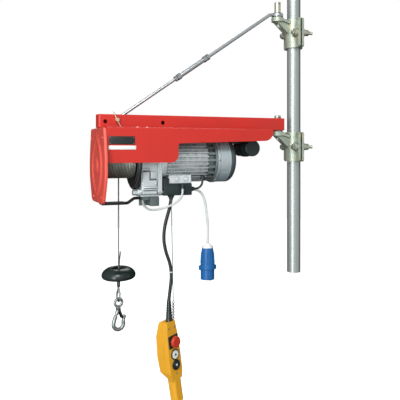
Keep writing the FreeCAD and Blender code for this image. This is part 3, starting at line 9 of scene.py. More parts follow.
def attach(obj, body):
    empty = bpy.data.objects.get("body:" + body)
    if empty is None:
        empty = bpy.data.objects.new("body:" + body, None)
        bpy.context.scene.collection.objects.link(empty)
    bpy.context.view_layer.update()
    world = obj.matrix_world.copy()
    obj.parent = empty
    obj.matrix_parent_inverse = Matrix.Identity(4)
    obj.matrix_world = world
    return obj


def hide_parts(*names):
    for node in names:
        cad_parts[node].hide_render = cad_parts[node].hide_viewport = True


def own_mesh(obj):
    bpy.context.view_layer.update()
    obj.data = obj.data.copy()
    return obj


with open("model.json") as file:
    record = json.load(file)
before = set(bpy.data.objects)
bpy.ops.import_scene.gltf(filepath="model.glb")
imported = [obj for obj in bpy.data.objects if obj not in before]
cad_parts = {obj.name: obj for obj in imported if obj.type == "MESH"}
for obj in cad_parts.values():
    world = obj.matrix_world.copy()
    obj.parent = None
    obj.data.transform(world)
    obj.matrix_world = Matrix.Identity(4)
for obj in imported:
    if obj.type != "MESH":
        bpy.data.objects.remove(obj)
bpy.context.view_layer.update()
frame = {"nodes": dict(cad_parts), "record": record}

MM = 0.001

# Camera: focal length in frame widths, and the frame's shift in the same unit
FOCAL = 1.4
SENSOR = 36.0
CAMERA_AT = (-1.0773, -1.7581, 0.4412)
CAMERA_TURN = -22
FRAME_SHIFT = -0.125

# Places in millimetres: the drum's axis, and the free rope's plan position and ends
DRUM_LEVEL = 408
AXIS = (0, 0, DRUM_LEVEL)
ALONG = (1, 0, 0)
TO_FRONT = (0, -1, 0)
TO_END = (-1, 0, 0)
UPRIGHT = (0, 0, 1)
FALL = (-634.5, 55.5)
FALL_TOP = DRUM_LEVEL
FALL_END = 12


def at(*values):
    """A point in metres from millimetres."""
    return Vector(values) * MM


def camera():
    """Level camera to the left of the front, with the frame shifted to take the object in."""
    data = bpy.data.cameras.new("photo_camera")
    data.sensor_width = SENSOR
    data.lens = SENSOR * FOCAL
    data.shift_y = FRAME_SHIFT
    item = bpy.data.objects.new("photo_camera", data)
    item.location = CAMERA_AT
    item.rotation_euler = (math.radians(90), 0, math.radians(CAMERA_TURN))
    bpy.context.collection.objects.link(item)
    bpy.context.scene.camera = item


camera()

# Materials ---------------------------------------------------------------------------------


class Shade:
    """A material's node tree with short names for the nodes that this script uses."""

    def __init__(self, name):
        self.made = bpy.data.materials.new(name)
        self.made.use_nodes = True
        self.tree = self.made.node_tree
        self.shader = self.tree.nodes["Principled BSDF"]
        self.coords = self.node("TexCoord").outputs["Object"]

    def node(self, kind, **values):
        item = self.tree.nodes.new("ShaderNode" + kind)
        for key, value in values.items():
            setattr(item, key, value)
        return item

    def wire(self, source, target):
        if isinstance(source, bpy.types.NodeSocket):
            self.tree.links.new(source, target)
        else:
            target.default_value = source

    def stretched(self, scale):
        item = self.node("Mapping")
        item.inputs["Scale"].default_value = scale
        self.wire(self.coords, item.inputs["Vector"])
        return item.outputs["Vector"]

    def noise(self, scale, detail=3.0, where=None, rough=0.55):
        item = self.node("TexNoise")
        item.inputs["Scale"].default_value = scale
        item.inputs["Detail"].default_value = detail
        item.inputs["Roughness"].default_value = rough
        self.wire(where or self.coords, item.inputs["Vector"])
        return item.outputs["Fac"]

    def span(self, value, low, high, first=0.0, last=1.0):
        item = self.node("MapRange")
        self.wire(value, item.inputs["Value"])
        for key, number in zip(("From Min", "From Max", "To Min", "To Max"), (low, high, first, last)):
            item.inputs[key].default_value = number
        return item.outputs["Result"]

    def maths(self, kind, first, second):
        item = self.node("Math", operation=kind)
        self.wire(first, item.inputs[0])
        self.wire(second, item.inputs[1])
        return item.outputs[0]

    def mix(self, factor, first, second, blend="MIX"):
        item = self.node("Mix", data_type="RGBA", blend_type=blend)
        self.wire(factor, item.inputs[0])
        self.wire(first, item.inputs[6])
        self.wire(second, item.inputs[7])
        return item.outputs[2]

    def edges(self, radius):
        """1 along sharp edges and 0 on open faces."""
        bevel = self.node("Bevel", samples=6)
        bevel.inputs["Radius"].default_value = radius
        facing = self.node("VectorMath", operation="DOT_PRODUCT")
        self.wire(bevel.outputs["Normal"], facing.inputs[0])
        self.wire(self.node("NewGeometry").outputs["Normal"], facing.inputs[1])
        return self.span(facing.outputs["Value"], 0.992, 0.90), bevel.outputs["Normal"]

    def crevice(self, distance):
        # Painted shade mask: 1 in hollows that ambient occlusion finds, 0 in the open
        item = self.node("AmbientOcclusion", samples=6)
        item.inputs["Distance"].default_value = distance
        return self.span(item.outputs["AO"], 0.85, 0.35)


def rgba(colour):
    return (*colour, 1.0)


def shaded(colour, factor):
    return rgba([min(1.0, channel * factor) for channel in colour])


def surface(name, colour, metal=0.0, rough=0.5, spread=0.08, shade=0.10, patch=14, stretch=None,
            grain=900, bump=0.15, relief=0.00015, tint=None, tint_size=22, tint_from=0.52, worn=None,
            wear=0.6, edge=0.0009, crevice_dirt_and_shade=None, deep=0.006, coat=0.0, cast=None, streak=None):
    """A finish: patchy colour, worn edges, dirt and painted shade in corners, fine grain, and gloss
    that varies.
    """
    make = Shade(name)
    where = make.stretched(stretch) if stretch else make.coords
    clouds = make.noise(patch, 4, where)
    paint = make.mix(make.span(clouds, 0.3, 0.7), shaded(colour, 1 - shade), shaded(colour, 1 + shade))
    if tint:
        spots = make.span(make.noise(tint_size, 5, where), tint_from, tint_from + 0.16)
        paint = make.mix(spots, paint, rgba(tint))
    if streak:
        lines = make.noise(260, 2, make.stretched(streak))
        paint = make.mix(make.span(lines, 0.45, 0.75, 0, 0.35), paint, shaded(colour, 0.72))
    fine = make.noise(grain, 4, where)
    paint = make.mix(make.span(fine, 0.35, 0.65, 0.0, 0.10), paint, shaded(colour, 0.7))
    sharp, normal = make.edges(edge)
    # Dirt and painted shade: the crevice colour darkens hollows found by ambient occlusion, broken into
    # patches by noise
    if crevice_dirt_and_shade:
        patches = make.span(make.noise(60, 4), 0.3, 0.6, 0.35, 1)
        dirt_and_shade_mask = make.maths("MULTIPLY", make.crevice(deep), patches)
        paint = make.mix(dirt_and_shade_mask, paint, rgba(crevice_dirt_and_shade))
    metal_value = metal
    if worn:
        rubbed = make.maths("MULTIPLY", sharp, make.span(make.noise(90, 5), 0.5, 0.62, 0, wear))
        paint = make.mix(rubbed, paint, rgba(worn))
        if metal == 0:
            metal_value = make.maths("MULTIPLY", rubbed, 0.6)
    make.wire(paint, make.shader.inputs["Base Color"])
    make.wire(metal_value, make.shader.inputs["Metallic"])
    gloss = make.noise(patch * 5, 5, where)
    make.wire(make.span(gloss, 0.3, 0.7, rough - spread, rough + spread),
              make.shader.inputs["Roughness"])
    height = fine
    if cast:
        height = make.maths("ADD", fine, make.maths("MULTIPLY", make.noise(cast, 3), 3.0))
    dent = make.node("Bump")
    dent.inputs["Strength"].default_value = bump
    dent.inputs["Distance"].default_value = relief
    make.wire(height, dent.inputs["Height"])
    make.wire(normal, dent.inputs["Normal"])
    make.wire(dent.outputs["Normal"], make.shader.inputs["Normal"])
    make.shader.inputs["Coat Weight"].default_value = coat
    make.shader.inputs["Coat Roughness"].default_value = 0.12
    return make.made


# The crevice colour of each finish is dirt and painted shade in its hollows
FINISHES = {
    "galvanised_tube": surface(
        "galvanised_tube", (0.49, 0.54, 0.52), 0.78, 0.37, 0.03, 0.05, 12, (1, 1, 0.12), 300, 0.01,
        tint=(0.53, 0.57, 0.53), tint_size=9),
    "zinc_casting": surface(
        "zinc_casting", (0.47, 0.525, 0.44), 0.62, 0.42, 0.08, 0.14, 30, grain=1100, bump=0.3,
        relief=0.0004, tint=(0.66, 0.64, 0.42), tint_size=26, worn=(0.84, 0.86, 0.76),
        crevice_dirt_and_shade=(0.05, 0.06, 0.045), deep=0.010, cast=240),
    "plated_steel": surface(
        "plated_steel", (0.60, 0.62, 0.50), 0.85, 0.34, 0.06, 0.10, 60, grain=2200, bump=0.08,
        tint=(0.62, 0.60, 0.40), tint_size=60, worn=(0.85, 0.84, 0.76), crevice_dirt_and_shade=(0.10, 0.10, 0.07)),
    "bright_zinc": surface(
        "bright_zinc", (0.36, 0.40, 0.39), 0.88, 0.32, 0.08, 0.16, 70, grain=1800, bump=0.18,
        relief=0.0002, worn=(0.85, 0.86, 0.86), crevice_dirt_and_shade=(0.20, 0.21, 0.20), cast=300),
    "red_paint": surface(
        "red_paint", (0.57, 0.020, 0.011), 0.0, 0.40, 0.05, 0.05, 9, grain=700, bump=0.10,
        relief=0.00012, worn=(0.82, 0.22, 0.18), wear=0.35, crevice_dirt_and_shade=(0.34, 0.02, 0.01), deep=0.010,
        coat=0.15),
    "cover_paint": surface(
        "cover_paint", (0.78, 0.085, 0.058), 0.0, 0.36, 0.05, 0.06, 12, grain=800, bump=0.10,
        relief=0.00012, worn=(0.92, 0.42, 0.36), wear=0.7, edge=0.002, crevice_dirt_and_shade=(0.36, 0.02, 0.015),
        deep=0.010, coat=0.3),
    "rod_steel": surface(
        "rod_steel", (0.52, 0.55, 0.56), 0.95, 0.30, 0.03, 0.06, 20, (1, 1, 1), 600, 0.02,
        worn=(0.85, 0.86, 0.87), crevice_dirt_and_shade=(0.14, 0.15, 0.15)),
    "brass_clip": surface(
        "brass_clip", (0.86, 0.76, 0.52), 0.85, 0.28, 0.08, 0.10, 90, grain=2400, bump=0.1),
    "black_steel": surface(
        "black_steel", (0.020, 0.024, 0.024), 0.30, 0.36, 0.10, 0.25, 30, grain=1200, bump=0.18,
        worn=(0.30, 0.31, 0.31), wear=0.5, coat=0.2),
    # The near-black crevice colour paints shade into the gaps between the rope's turns on the drum
    "wire_rope": surface(
        "wire_rope", (0.62, 0.65, 0.58), 0.85, 0.30, 0.05, 0.08, 30, grain=3000, bump=0.06,
        tint=(0.50, 0.52, 0.45), tint_size=14, crevice_dirt_and_shade=(0.010, 0.011, 0.009), deep=0.005),
    "hanging_rope": surface(
        "hanging_rope", (0.27, 0.265, 0.27), 0.75, 0.36, 0.05, 0.08, 30, grain=3000, bump=0.06,
        crevice_dirt_and_shade=(0.010, 0.011, 0.009), deep=0.004),
    "machined_steel": surface(
        "machined_steel", (0.58, 0.59, 0.60), 1.0, 0.24, 0.06, 0.06, 50, (1, 1, 1), 2000, 0.1,
        worn=(0.85, 0.86, 0.87)),
    "cast_aluminium": surface(
        "cast_aluminium", (0.78, 0.84, 0.845), 0.72, 0.40, 0.08, 0.08, 24, grain=1300, bump=0.3,
        relief=0.0003, worn=(0.90, 0.91, 0.92), crevice_dirt_and_shade=(0.13, 0.14, 0.14), deep=0.006, cast=360),
    # The near-black crevice colour paints shade into the gaps between the motor's fins
    "motor_aluminium": surface(
        "motor_aluminium", (0.86, 0.92, 0.92), 0.72, 0.34, 0.08, 0.08, 20, grain=1300, bump=0.25,
        relief=0.0002, worn=(0.96, 0.97, 0.97), crevice_dirt_and_shade=(0.03, 0.035, 0.035), deep=0.010, cast=300),
    "lamination": surface(
        "lamination", (0.30, 0.30, 0.31), 0.9, 0.40, stretch=(60, 1, 1), grain=1200),
    "dark_casting": surface(
        "dark_casting", (0.235, 0.285, 0.28), 0.55, 0.38, 0.08, 0.14, 30, grain=1200, bump=0.3,
        relief=0.0003, worn=(0.66, 0.69, 0.69), crevice_dirt_and_shade=(0.012, 0.016, 0.016), deep=0.012, cast=320),
    "cowl_paint": surface(
        "cowl_paint", (0.50, 0.62, 0.66), 0.45, 0.30, 0.06, 0.07, 16, grain=1200, bump=0.12,
        worn=(0.72, 0.75, 0.76), crevice_dirt_and_shade=(0.05, 0.06, 0.06), coat=0.2),
    "black_plastic": surface(
        "black_plastic", (0.011, 0.023, 0.022), 0.0, 0.38, 0.07, 0.20, 40, grain=1600, bump=0.25,
        worn=(0.10, 0.11, 0.11), wear=0.5),
    "grey_plastic": surface(
        "grey_plastic", (0.65, 0.70, 0.71), 0.15, 0.42, 0.06, 0.06, 30, grain=1500, bump=0.2,
        crevice_dirt_and_shade=(0.13, 0.14, 0.14)),
    "smooth_rubber": surface(
        "smooth_rubber", (0.006, 0.015, 0.013), 0.0, 0.30, 0.03, 0.10, 12, grain=900, bump=0.02,
        coat=0.12),
    "drum_black": surface(
        "drum_black", (0.026, 0.028, 0.026), 0.45, 0.34, 0.06, 0.20, 20, grain=1200, bump=0.1,
        worn=(0.22, 0.23, 0.22), wear=0.4, crevice_dirt_and_shade=(0.006, 0.006, 0.006), deep=0.010),
    "rubber": surface(
        "rubber", (0.008, 0.017, 0.0155), 0.0, 0.27, 0.05, 0.25, 22, grain=1300, bump=0.12, coat=0.5,
        crevice_dirt_and_shade=(0.03, 0.03, 0.028)),
    "yellow_plastic": surface(
        "yellow_plastic", (0.83, 0.40, 0.018), 0.0, 0.42, 0.06, 0.05, 18, grain=1700, bump=0.22,
        worn=(0.93, 0.58, 0.14), wear=0.4, crevice_dirt_and_shade=(0.42, 0.20, 0.02), deep=0.004),
    "red_plastic": surface(
        "red_plastic", (0.62, 0.036, 0.012), 0.0, 0.30, 0.05, 0.06, 60, grain=2200, bump=0.12,
        coat=0.2, crevice_dirt_and_shade=(0.25, 0.01, 0.01), deep=0.003),
    "white_plastic": surface(
        "white_plastic", (0.90, 0.91, 0.88), 0.0, 0.36, 0.05, 0.03, 60, grain=2200, bump=0.1,
        crevice_dirt_and_shade=(0.30, 0.30, 0.28), deep=0.003),
    "blue_plastic": surface(
        "blue_plastic", (0.004, 0.118, 0.36), 0.0, 0.40, 0.06, 0.07, 30, grain=1700, bump=0.22,
        worn=(0.10, 0.30, 0.66), wear=0.5, crevice_dirt_and_shade=(0.006, 0.03, 0.15), deep=0.005),
    "white_cable": surface(
        "white_cable", (0.62, 0.645, 0.65), 0.0, 0.42, 0.06, 0.04, 30, grain=2400, bump=0.12),
    "black_cable": surface(
        "black_cable", (0.016, 0.022, 0.021), 0.0, 0.36, 0.08, 0.20, 30, grain=2200, bump=0.16),
    "label_black": surface(
        "label_black", (0.016, 0.020, 0.020), 0.0, 0.40, 0.06, 0.20, 60, grain=2400, bump=0.08),
    "label_white": surface(
        "label_white", (0.84, 0.86, 0.85), 0.0, 0.44, 0.06, 0.03, 60, grain=2400, bump=0.08),
    "dull_ring": surface(
        "dull_ring", (0.60, 0.66, 0.68), 0.70, 0.34, 0.07, 0.08, 24, grain=1400, bump=0.2,
        worn=(0.85, 0.87, 0.88)),
    "rim_dark": surface(
        "rim_dark", (0.10, 0.12, 0.125), 0.45, 0.36, 0.07, 0.14, 24, grain=1400, bump=0.2,
        worn=(0.40, 0.42, 0.42)),
}

# CAD nodes whose finish differs from the one that their material slot gives
OWN_FINISH = {"end_cover": "cover_paint", "load_hook": "bright_zinc", "pivot_pins": "plated_steel",
              "rope_drum": "drum_black", "suspension_line": "rim_dark"}
SLOTS = {part["node"]: part["material_slot"] for part in frame["record"]["subparts"]}


def dress():
    """Give each CAD node its finish."""
    for name, item in frame["nodes"].items():
        finish = FINISHES[OWN_FINISH.get(name, SLOTS[name])]
        for slot in item.material_slots:
            slot.material = finish


dress()

# Cords -------------------------------------------------------------------------------------

PENDANT_CABLE = [(-481, -30, 281), (-484.5, -30, 256), (-494, -30, 226), (-503.5, -30, 190),
                 (-506.5, -30, 150), (-499, -30, 110), (-484.5, -30, 73), (-479, -30, 35),
                 (-483, -30, -6), (-488.5, -30, -47)]
MAINS_LEAD = [(-403, -22, 311), (-391, -22, 310), (-378, -23, 304), (-367, -25, 291),
              (-359.5, -26.5, 270), (-356, -28, 241), (-352, -29, 205), (-349.5, -30, 168),
              (-352, -30, 131)]
SWITCH_LEAD = [(-456, -72, 318), (-456.5, -73, 302), (-461, -69, 286), (-474, -58, 271),
               (-496, -42, 257), (-518, -12, 247), (-538, 12, 243), (-549, 23, 249),
               (-558, 28.5, 260), (-560, 29.5, 276)]
MOTOR_LEAD = [(-405.5, -45, 314), (-396, -45, 314.7), (-387.2, -45.3, 318.2),
              (-380.5, -45.6, 324.9), (-377, -45.8, 333.7), (-376.3, -46, 343)]


def lead(name, points, radius, slot):
    """A cord as a smooth curve along the CAD's route."""
    curve = bpy.data.curves.new(name, "CURVE")
    curve.dimensions = "3D"
    spline = curve.splines.new("NURBS")
    spline.points.add(len(points) - 1)
    for knot, point in zip(spline.points, points):
        knot.co = (*at(*point), 1)
    spline.order_u = 3
    spline.use_endpoint_u = True
    curve.resolution_u = 10
    curve.bevel_depth = radius * MM
    curve.bevel_resolution = 6
    curve.use_fill_caps = True
    item = bpy.data.objects.new(name, curve)
    bpy.context.collection.objects.link(item)
    curve.materials.append(FINISHES[slot])
    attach(item, "arm")
    return item


def cords():
    flex = lead("pendant_flex", PENDANT_CABLE, 5.5, "black_cable")
    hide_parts("pendant_cable")
    mains = lead("mains_flex", MAINS_LEAD, 4.0, "white_cable")
    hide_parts("mains_lead")
    switch = lead("switch_flex", SWITCH_LEAD, 3.5, "white_cable")
    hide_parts("limit_switch_lead")
    motor = lead("motor_flex", MOTOR_LEAD, 3.5, "black_cable")
    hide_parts("motor_lead")


cords()

# Pieces ------------------------------------------------------------------------------------

# An edge bent further than this is drawn sharp; a turned profile stays this far off its axis
SHARP = math.radians(38)
LEAST_RADIUS = 0.02


def piece(name, shape, finish, body, replaced=(), smooth=True):
    """A finished visual piece made from a bmesh, riding on a body."""
    mesh = bpy.data.meshes.new(name)
    bmesh.ops.recalc_face_normals(shape, faces=shape.faces)
    shape.to_mesh(mesh)
    shape.free()
    mesh.materials.append(FINISHES[finish])
    item = bpy.data.objects.new(name, mesh)
    bpy.context.collection.objects.link(item)
    if smooth:
        for face in mesh.polygons:
            face.use_smooth = True
        mesh.set_sharp_from_angle(angle=SHARP)
    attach(item, body)
    if replaced:
        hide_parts(*replaced)
    return item


def smooth_path(knots, steps):
    """Points on a curve through the knots."""
    knots = [Vector(knot) for knot in knots]
    ends = [2 * knots[0] - knots[1]] + knots + [2 * knots[-1] - knots[-2]]
    points = []
    for before, start, end, after in zip(ends, ends[1:], ends[2:], ends[3:]):
        for step in range(steps):
            t = step / steps
            points.append(0.5 * (2 * start + (end - before) * t
                                 + (2 * before - 5 * start + 4 * end - after) * t ** 2
                                 + (3 * start - before - 3 * end + after) * t ** 3))
    return points + [knots[-1]]


def frames(points):
    """Two directions across the path at each point, carried along without twist."""
    ways = []
    side = None
    for index, point in enumerate(points):
        ahead = points[min(index + 1, len(points) - 1)] - points[max(index - 1, 0)]
        ahead.normalize()
        if side is None:
            side = ahead.orthogonal().normalized()
        side = (side - ahead * side.dot(ahead)).normalized()
        ways.append((side.copy(), ahead.cross(side)))
    return ways


def skin(shape, rings, caps=True):
    """Faces from each ring of corners to the next, and over the two ends."""
    for first, second in zip(rings, rings[1:]):
        for number in range(len(first)):
            after = (number + 1) % len(first)
            shape.faces.new((first[number], first[after], second[after], second[number]))
    if caps:
        shape.faces.new(rings[0])
        shape.faces.new(list(reversed(rings[-1])))


def bar(shape, points, radius, sides=10, wide=1.0):
    """A bar along points in millimetres."""
    rings = []
    for point, (side, up) in zip(points, frames(points)):
        ring = []
        for number in range(sides):
            turn = 2 * math.pi * number / sides
            spot = point + side * math.cos(turn) * radius * wide + up * math.sin(turn) * radius
            ring.append(shape.verts.new(spot * MM))
        rings.append(ring)
    skin(shape, rings)


def stranded(shape, points, radius, pitch, strands=6, sides=6):
    """Wire rope along points: strands laid in a helix round a core, all by the rope's radius."""
    off_centre, thick, core = 0.64, 0.37, 0.45
    ways = frames(points)
    run = [0.0]
    for first, second in zip(points, points[1:]):
        run.append(run[-1] + (second - first).length)
    for strand in range(strands):
        line = []
        for point, (side, up), far in zip(points, ways, run):
            turn = 2 * math.pi * (far / pitch + strand / strands)
            line.append(point + (side * math.cos(turn) + up * math.sin(turn)) * radius * off_centre)
        bar(shape, line, radius * thick, sides)
    bar(shape, points, radius * core, 6)


def turned(shape, profile, centre, axis, sides=48):
    """A closed profile of (distance along the axis, radius) turned about the axis."""
    axis = Vector(axis).normalized()
    side = axis.orthogonal().normalized()
    up = axis.cross(side)
    centre = Vector(centre)
    rings = []
    for along, radius in profile:
        ring = []
        for number in range(sides):
            turn = 2 * math.pi * number / sides
            out = (side * math.cos(turn) + up * math.sin(turn)) * max(radius, LEAST_RADIUS)
            ring.append(shape.verts.new((centre + axis * along + out) * MM))
        rings.append(ring)
    skin(shape, rings + rings[:1], caps=False)


def slab(shape, size, centre, soft=0.6):
    """A block with rounded edges."""
    made = bmesh.ops.create_cube(shape, size=1)
    matrix = Matrix.Translation(at(*centre)) @ Matrix.Diagonal((*at(*size), 1))
    bmesh.ops.transform(shape, matrix=matrix, verts=made["verts"])
    edges = list(dict.fromkeys(edge for vert in made["verts"] for edge in vert.link_edges))
    bmesh.ops.bevel(shape, geom=edges, offset=soft * MM, segments=2, affect="EDGES", profile=0.5)


# Rope --------------------------------------------------------------------------------------

ROPE = 2.3
LAY = 34
EYE_LAY = 30
WRAPS = 19
BARREL = 53
WRAPS_FROM = -694.6
WRAPS_LONG = 89.2
FLANGE = -602.6
HOOK_TURN = math.radians(12)
EYE_SIDE = Vector((-math.sin(HOOK_TURN), math.cos(HOOK_TURN), 0))


def drum_rope():
    """Nineteen turns laid side by side on the barrel, and two turned ribs on the drum's flange in a
    lighter finish than the flange, painted highlight arcs.
    """
    shape = bmesh.new()
    points = []
    steps = 72
    reach = BARREL + ROPE
    for number in range(WRAPS * steps + 1):
        turn = 2 * math.pi * number / steps
        points.append(Vector((WRAPS_FROM + WRAPS_LONG * number / (WRAPS * steps),
                              reach * math.cos(turn), DRUM_LEVEL + reach * math.sin(turn))))
    stranded(shape, points, ROPE, LAY, sides=5)
    piece("drum_rope", shape, "wire_rope", "drum", ("rope_wraps",))
    # Painted highlight: the flange's two ribs get a lighter finish than the black flange so that they
    # show as bright arcs
    shape = bmesh.new()
    for inner, outer in ((86, 91), (72, 75)):
        turned(shape, [(FLANGE - 1.3, inner + 0.8), (FLANGE - 1.3, outer - 0.8), (FLANGE, outer),
                       (FLANGE, inner)], AXIS, ALONG, 96)
    piece("flange_rings", shape, "rim_dark", "drum")


def falling_rope():
    """Free stretch of rope from the drum down to the hook, which on the hoist shortens as the hook
    rises; built here at one length.
    """
    shape = bmesh.new()
    count = 130
    points = [Vector((*FALL, FALL_TOP - (FALL_TOP - FALL_END) * number / count))
              for number in range(count + 1)]
    stranded(shape, points, ROPE, LAY)
    item = piece("falling_rope", shape, "hanging_rope", "arm", ("rope_fall",))
    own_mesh(item)


def both_sides(knots, way=1):
    """Points down one side of the rope eye, whose plane is turned with the hook, and up the other."""
    centre = Vector((*FALL, 0))
    down, back = ([centre + EYE_SIDE * across * side + Vector((0, 0, up)) for across, up in knots]
                  for side in (way, -way))
    return down + list(reversed(back[:-1]))


def hanging_loop():
    """Rope loop between the ferrule and the hook's ring."""
    shape = bmesh.new()
    knots = [(0.0, -9), (1.5, -14), (7, -23), (11.8, -33), (13.2, -42), (11.6, -50), (6.6, -55.8),
             (0, -57.5)]
    stranded(shape, smooth_path(both_sides(knots), 8), 2.6, EYE_LAY)
    piece("hanging_loop", shape, "bright_zinc", "load", ("rope_eye",))


def dead_end():
    """Short end of the rope above the ferrule."""
    shape = bmesh.new()
    tail = smooth_path([(FALL[0] + 3, FALL[1] + 5.2, 11.5), (FALL[0] + 3.6, FALL[1] + 6, 60),
                        (FALL[0] + 8, FALL[1] + 6.5, 105)], 24)
    stranded(shape, tail, ROPE, EYE_LAY)
    piece("dead_end", shape, "hanging_rope", "load")


def thimble():
    """Flat lining inside the rope loop."""
    shape = bmesh.new()
    knots = [(0, -20), (4, -26), (9.5, -34), (12.4, -43), (11, -49.5), (6.5, -53), (0, -54.6)]
    bar(shape, smooth_path(both_sides(knots, 0.74), 8), 0.9, 8, 2.2)
    piece("thimble", shape, "bright_zinc", "load")


def pressed_ferrule():
    """Sleeve pressed on the rope, with a groove near each end."""
    shape = bmesh.new()
    turned(shape, [(-11, 4.6), (-9, 5.6), (-8, 5.6), (-7.4, 5.2), (-6.6, 5.6), (6.6, 5.6), (7.4, 5.2),
                   (8, 5.6), (9, 5.6), (11, 4.6), (11, 2.6), (-11, 2.6)], (*FALL, 0), UPRIGHT, 32)
    piece("pressed_ferrule", shape, "rim_dark", "load", ("rope_ferrule",))


def rubber_dome():
    """Smooth rubber counterweight with a dished top round the rope."""
    outline = smooth_path(
        [(18.4, 0, -9), (22, 0, -14.6), (34, 0, -16.8), (45, 0, -17.4), (52.6, 0, -15), (55.9, 0, -8.4),
         (55.2, 0, -1.6), (51.6, 0, 5.2), (45.6, 0, 10.8), (38, 0, 15), (30, 0, 17.2), (24.6, 0, 17.4),
         (21, 0, 15.8), (19.4, 0, 12.4), (18.8, 0, 4)], 5)
    tilt = Matrix.Rotation(math.radians(-2), 3, "Y") @ Matrix.Rotation(math.radians(2), 3, "X")
    shape = bmesh.new()
    turned(shape, [(point.z, point.x) for point in outline], (*FALL, 36.5), tilt @ Vector(UPRIGHT), 72)
    turned(shape, [(11.4, 17.2), (12.6, 18), (30, 18), (30, 3.6), (11.4, 3.6)], (*FALL, 0), UPRIGHT,
           48)
    piece("rubber_dome", shape, "smooth_rubber", "load", ("counterweight",))


drum_rope()
falling_rope()
hanging_loop()
dead_end()
thimble()
pressed_ferrule()
rubber_dome()

# Labels and cover --------------------------------------------------------------------------

LABEL_X = -661.4
LABEL_Z = 470.6
LABEL_WIDE = 80


def front_label():
    """Blank dark plate, its four rivets and a pale stripe on the frame's front."""
    shape = bmesh.new()
    slab(shape, (LABEL_WIDE, 0.6, 25), (LABEL_X, -100.35, LABEL_Z), soft=0.25)
    piece("label_plate", shape, "label_black", "arm")
    shape = bmesh.new()
    slab(shape, (LABEL_WIDE + 5, 0.5, 12), (LABEL_X + 1, -100.3, LABEL_Z - 22), soft=0.2)
    piece("label_stripe", shape, "label_white", "arm")
    shape = bmesh.new()
    for number in range(4):
        turned(shape, [(0, 1.3), (0.5, 1.2), (0.8, 0.1), (-0.2, 0.1), (-0.2, 1.3)],
               (LABEL_X + (number % 2 - 0.5) * (LABEL_WIDE - 7), -100.6,
                LABEL_Z + (number // 2 - 0.5) * 18), TO_FRONT, 16)
    piece("label_rivets", shape, "bright_zinc", "arm")


front_label()

COVER_FACE = -718
COVER_BACK = -709
COVER_MIDDLE = 390
PRESSING = 3.8
COVER_SIDE = [(0, 510.6), (84, 510.6), (92, 509.8), (96.8, 506), (98.8, 499), (103, 482), (108, 463),
              (113.4, 440), (117.2, 421), (118.7, 400), (118.7, 378), (116.8, 358), (110, 337),
              (100, 315), (90, 294), (84, 284), (75, 277.3), (62, 275), (0, 275)]


def cover_details():
    """Rubber edging along the cover's lower lip, a plain emblem in its middle, and four rivets."""
    shape = bmesh.new()
    lip = COVER_BACK + 0.5
    points = smooth_path([(lip, -78, 288), (lip, -74, 279.5), (lip, -62, 275.6), (lip, 0, 275.4),
                          (lip, 62, 275.6), (lip, 74, 279.5), (lip, 78, 288)], 10)
    bar(shape, points, 1.7, 8)
    piece("cover_edging", shape, "rubber", "arm")
    shape = bmesh.new()
    turned(shape, [(0, 19), (1.2, 18.4), (1.6, 17), (1.2, 15.4), (0.4, 15), (-0.6, 15), (-0.6, 19)],
           (-720.3, 0, COVER_MIDDLE), TO_END, 64)
    for number in range(3):
        slab(shape, (1.2, 17 - 4 * number, 2.4), (-720.7, 0, 396 - 6 * number), soft=0.4)
    piece("cover_emblem", shape, "cover_paint", "arm")
    shape = bmesh.new()
    for across, up in ((-84, 478), (84, 478), (-72, 296), (44, 292)):
        turned(shape, [(0, 5), (1.4, 4.8), (2.3, 3.4), (2.4, 0.1), (-0.4, 0.1), (-0.4, 5)],
               (COVER_FACE, across, up), TO_END, 24)
    piece("cover_rivets", shape, "cover_paint", "arm")


def ridge_height(across, up):
    """How far the cover's pressing stands out: a tall lens with a sunk middle, and a disc."""
    blunt = 2.2

    def step(value, soft):
        t = min(1.0, max(0.0, value / soft + 0.5))
        return t * t * (3 - 2 * t)

    def inside(half_wide, half_tall):
        level = min(1.0, abs(up - COVER_MIDDLE) / half_tall)
        gap = half_wide * (1 - level ** blunt) - abs(across)
        steep = math.hypot(1, half_wide * blunt * level ** (blunt - 1) / half_tall)
        return step(gap / steep, 4.5)

    lens = inside(74, 104) - 0.8 * inside(55, 80)
    disc = step(25 - math.hypot(across, up - COVER_MIDDLE), 3.5)
    return PRESSING * max(lens, 0.85 * disc)


def pressed_cover():
    """The end cover as one pressed sheet with a rolled rim, and the bearing housing behind it."""
    half = smooth_path([(wide, up, 0) for wide, up in COVER_SIDE], 6)
    outline = half + [Vector((-point.x, point.y, 0)) for point in reversed(half[1:-1])]
    shape = bmesh.new()
    rows = 44
    rim = 5.0

    def ring(scale, reach, inset=0.0, pressed=0.0):
        """The outline at one depth, shrunk toward the cover's middle."""
        made = []
        for point in outline:
            away = Vector((point.x, point.y - COVER_MIDDLE))
            spot = away * scale - away.normalized() * inset
            out = ridge_height(spot.x, spot.y + COVER_MIDDLE) * pressed
            made.append(shape.verts.new(at(reach - out, spot.x, spot.y + COVER_MIDDLE)))
        return made

    rings = [ring(1 - (row + 1) / (rows + 1), COVER_FACE + 2.6, rim * (1 - row / rows), 1)
             for row in range(rows - 1, -1, -1)]
    rings += [ring(1, COVER_FACE + 2.8, 3.6), ring(1, COVER_FACE + rim, 2.8),
              ring(1, COVER_BACK, 2.6), ring(1, COVER_BACK)]
    for degrees in range(0, 91, 18):
        turn = math.radians(degrees)
        rings.append(ring(1, COVER_FACE + rim - rim * math.sin(turn), rim - rim * math.cos(turn)))
    rings += [ring(1 - (row + 1) / (rows + 1), COVER_FACE, rim * (1 - row / rows), 1)
              for row in range(rows)]
    skin(shape, rings)
    turned(shape, [(-715.8, 30), (-703.2, 30), (-703.2, 23.6), (-715.8, 23.6)], AXIS, ALONG, 64)
    piece("pressed_cover", shape, "cover_paint", "arm", ("end_cover",))


pressed_cover()
cover_details()

# Motor and gearbox -------------------------------------------------------------------------

FINE = 128


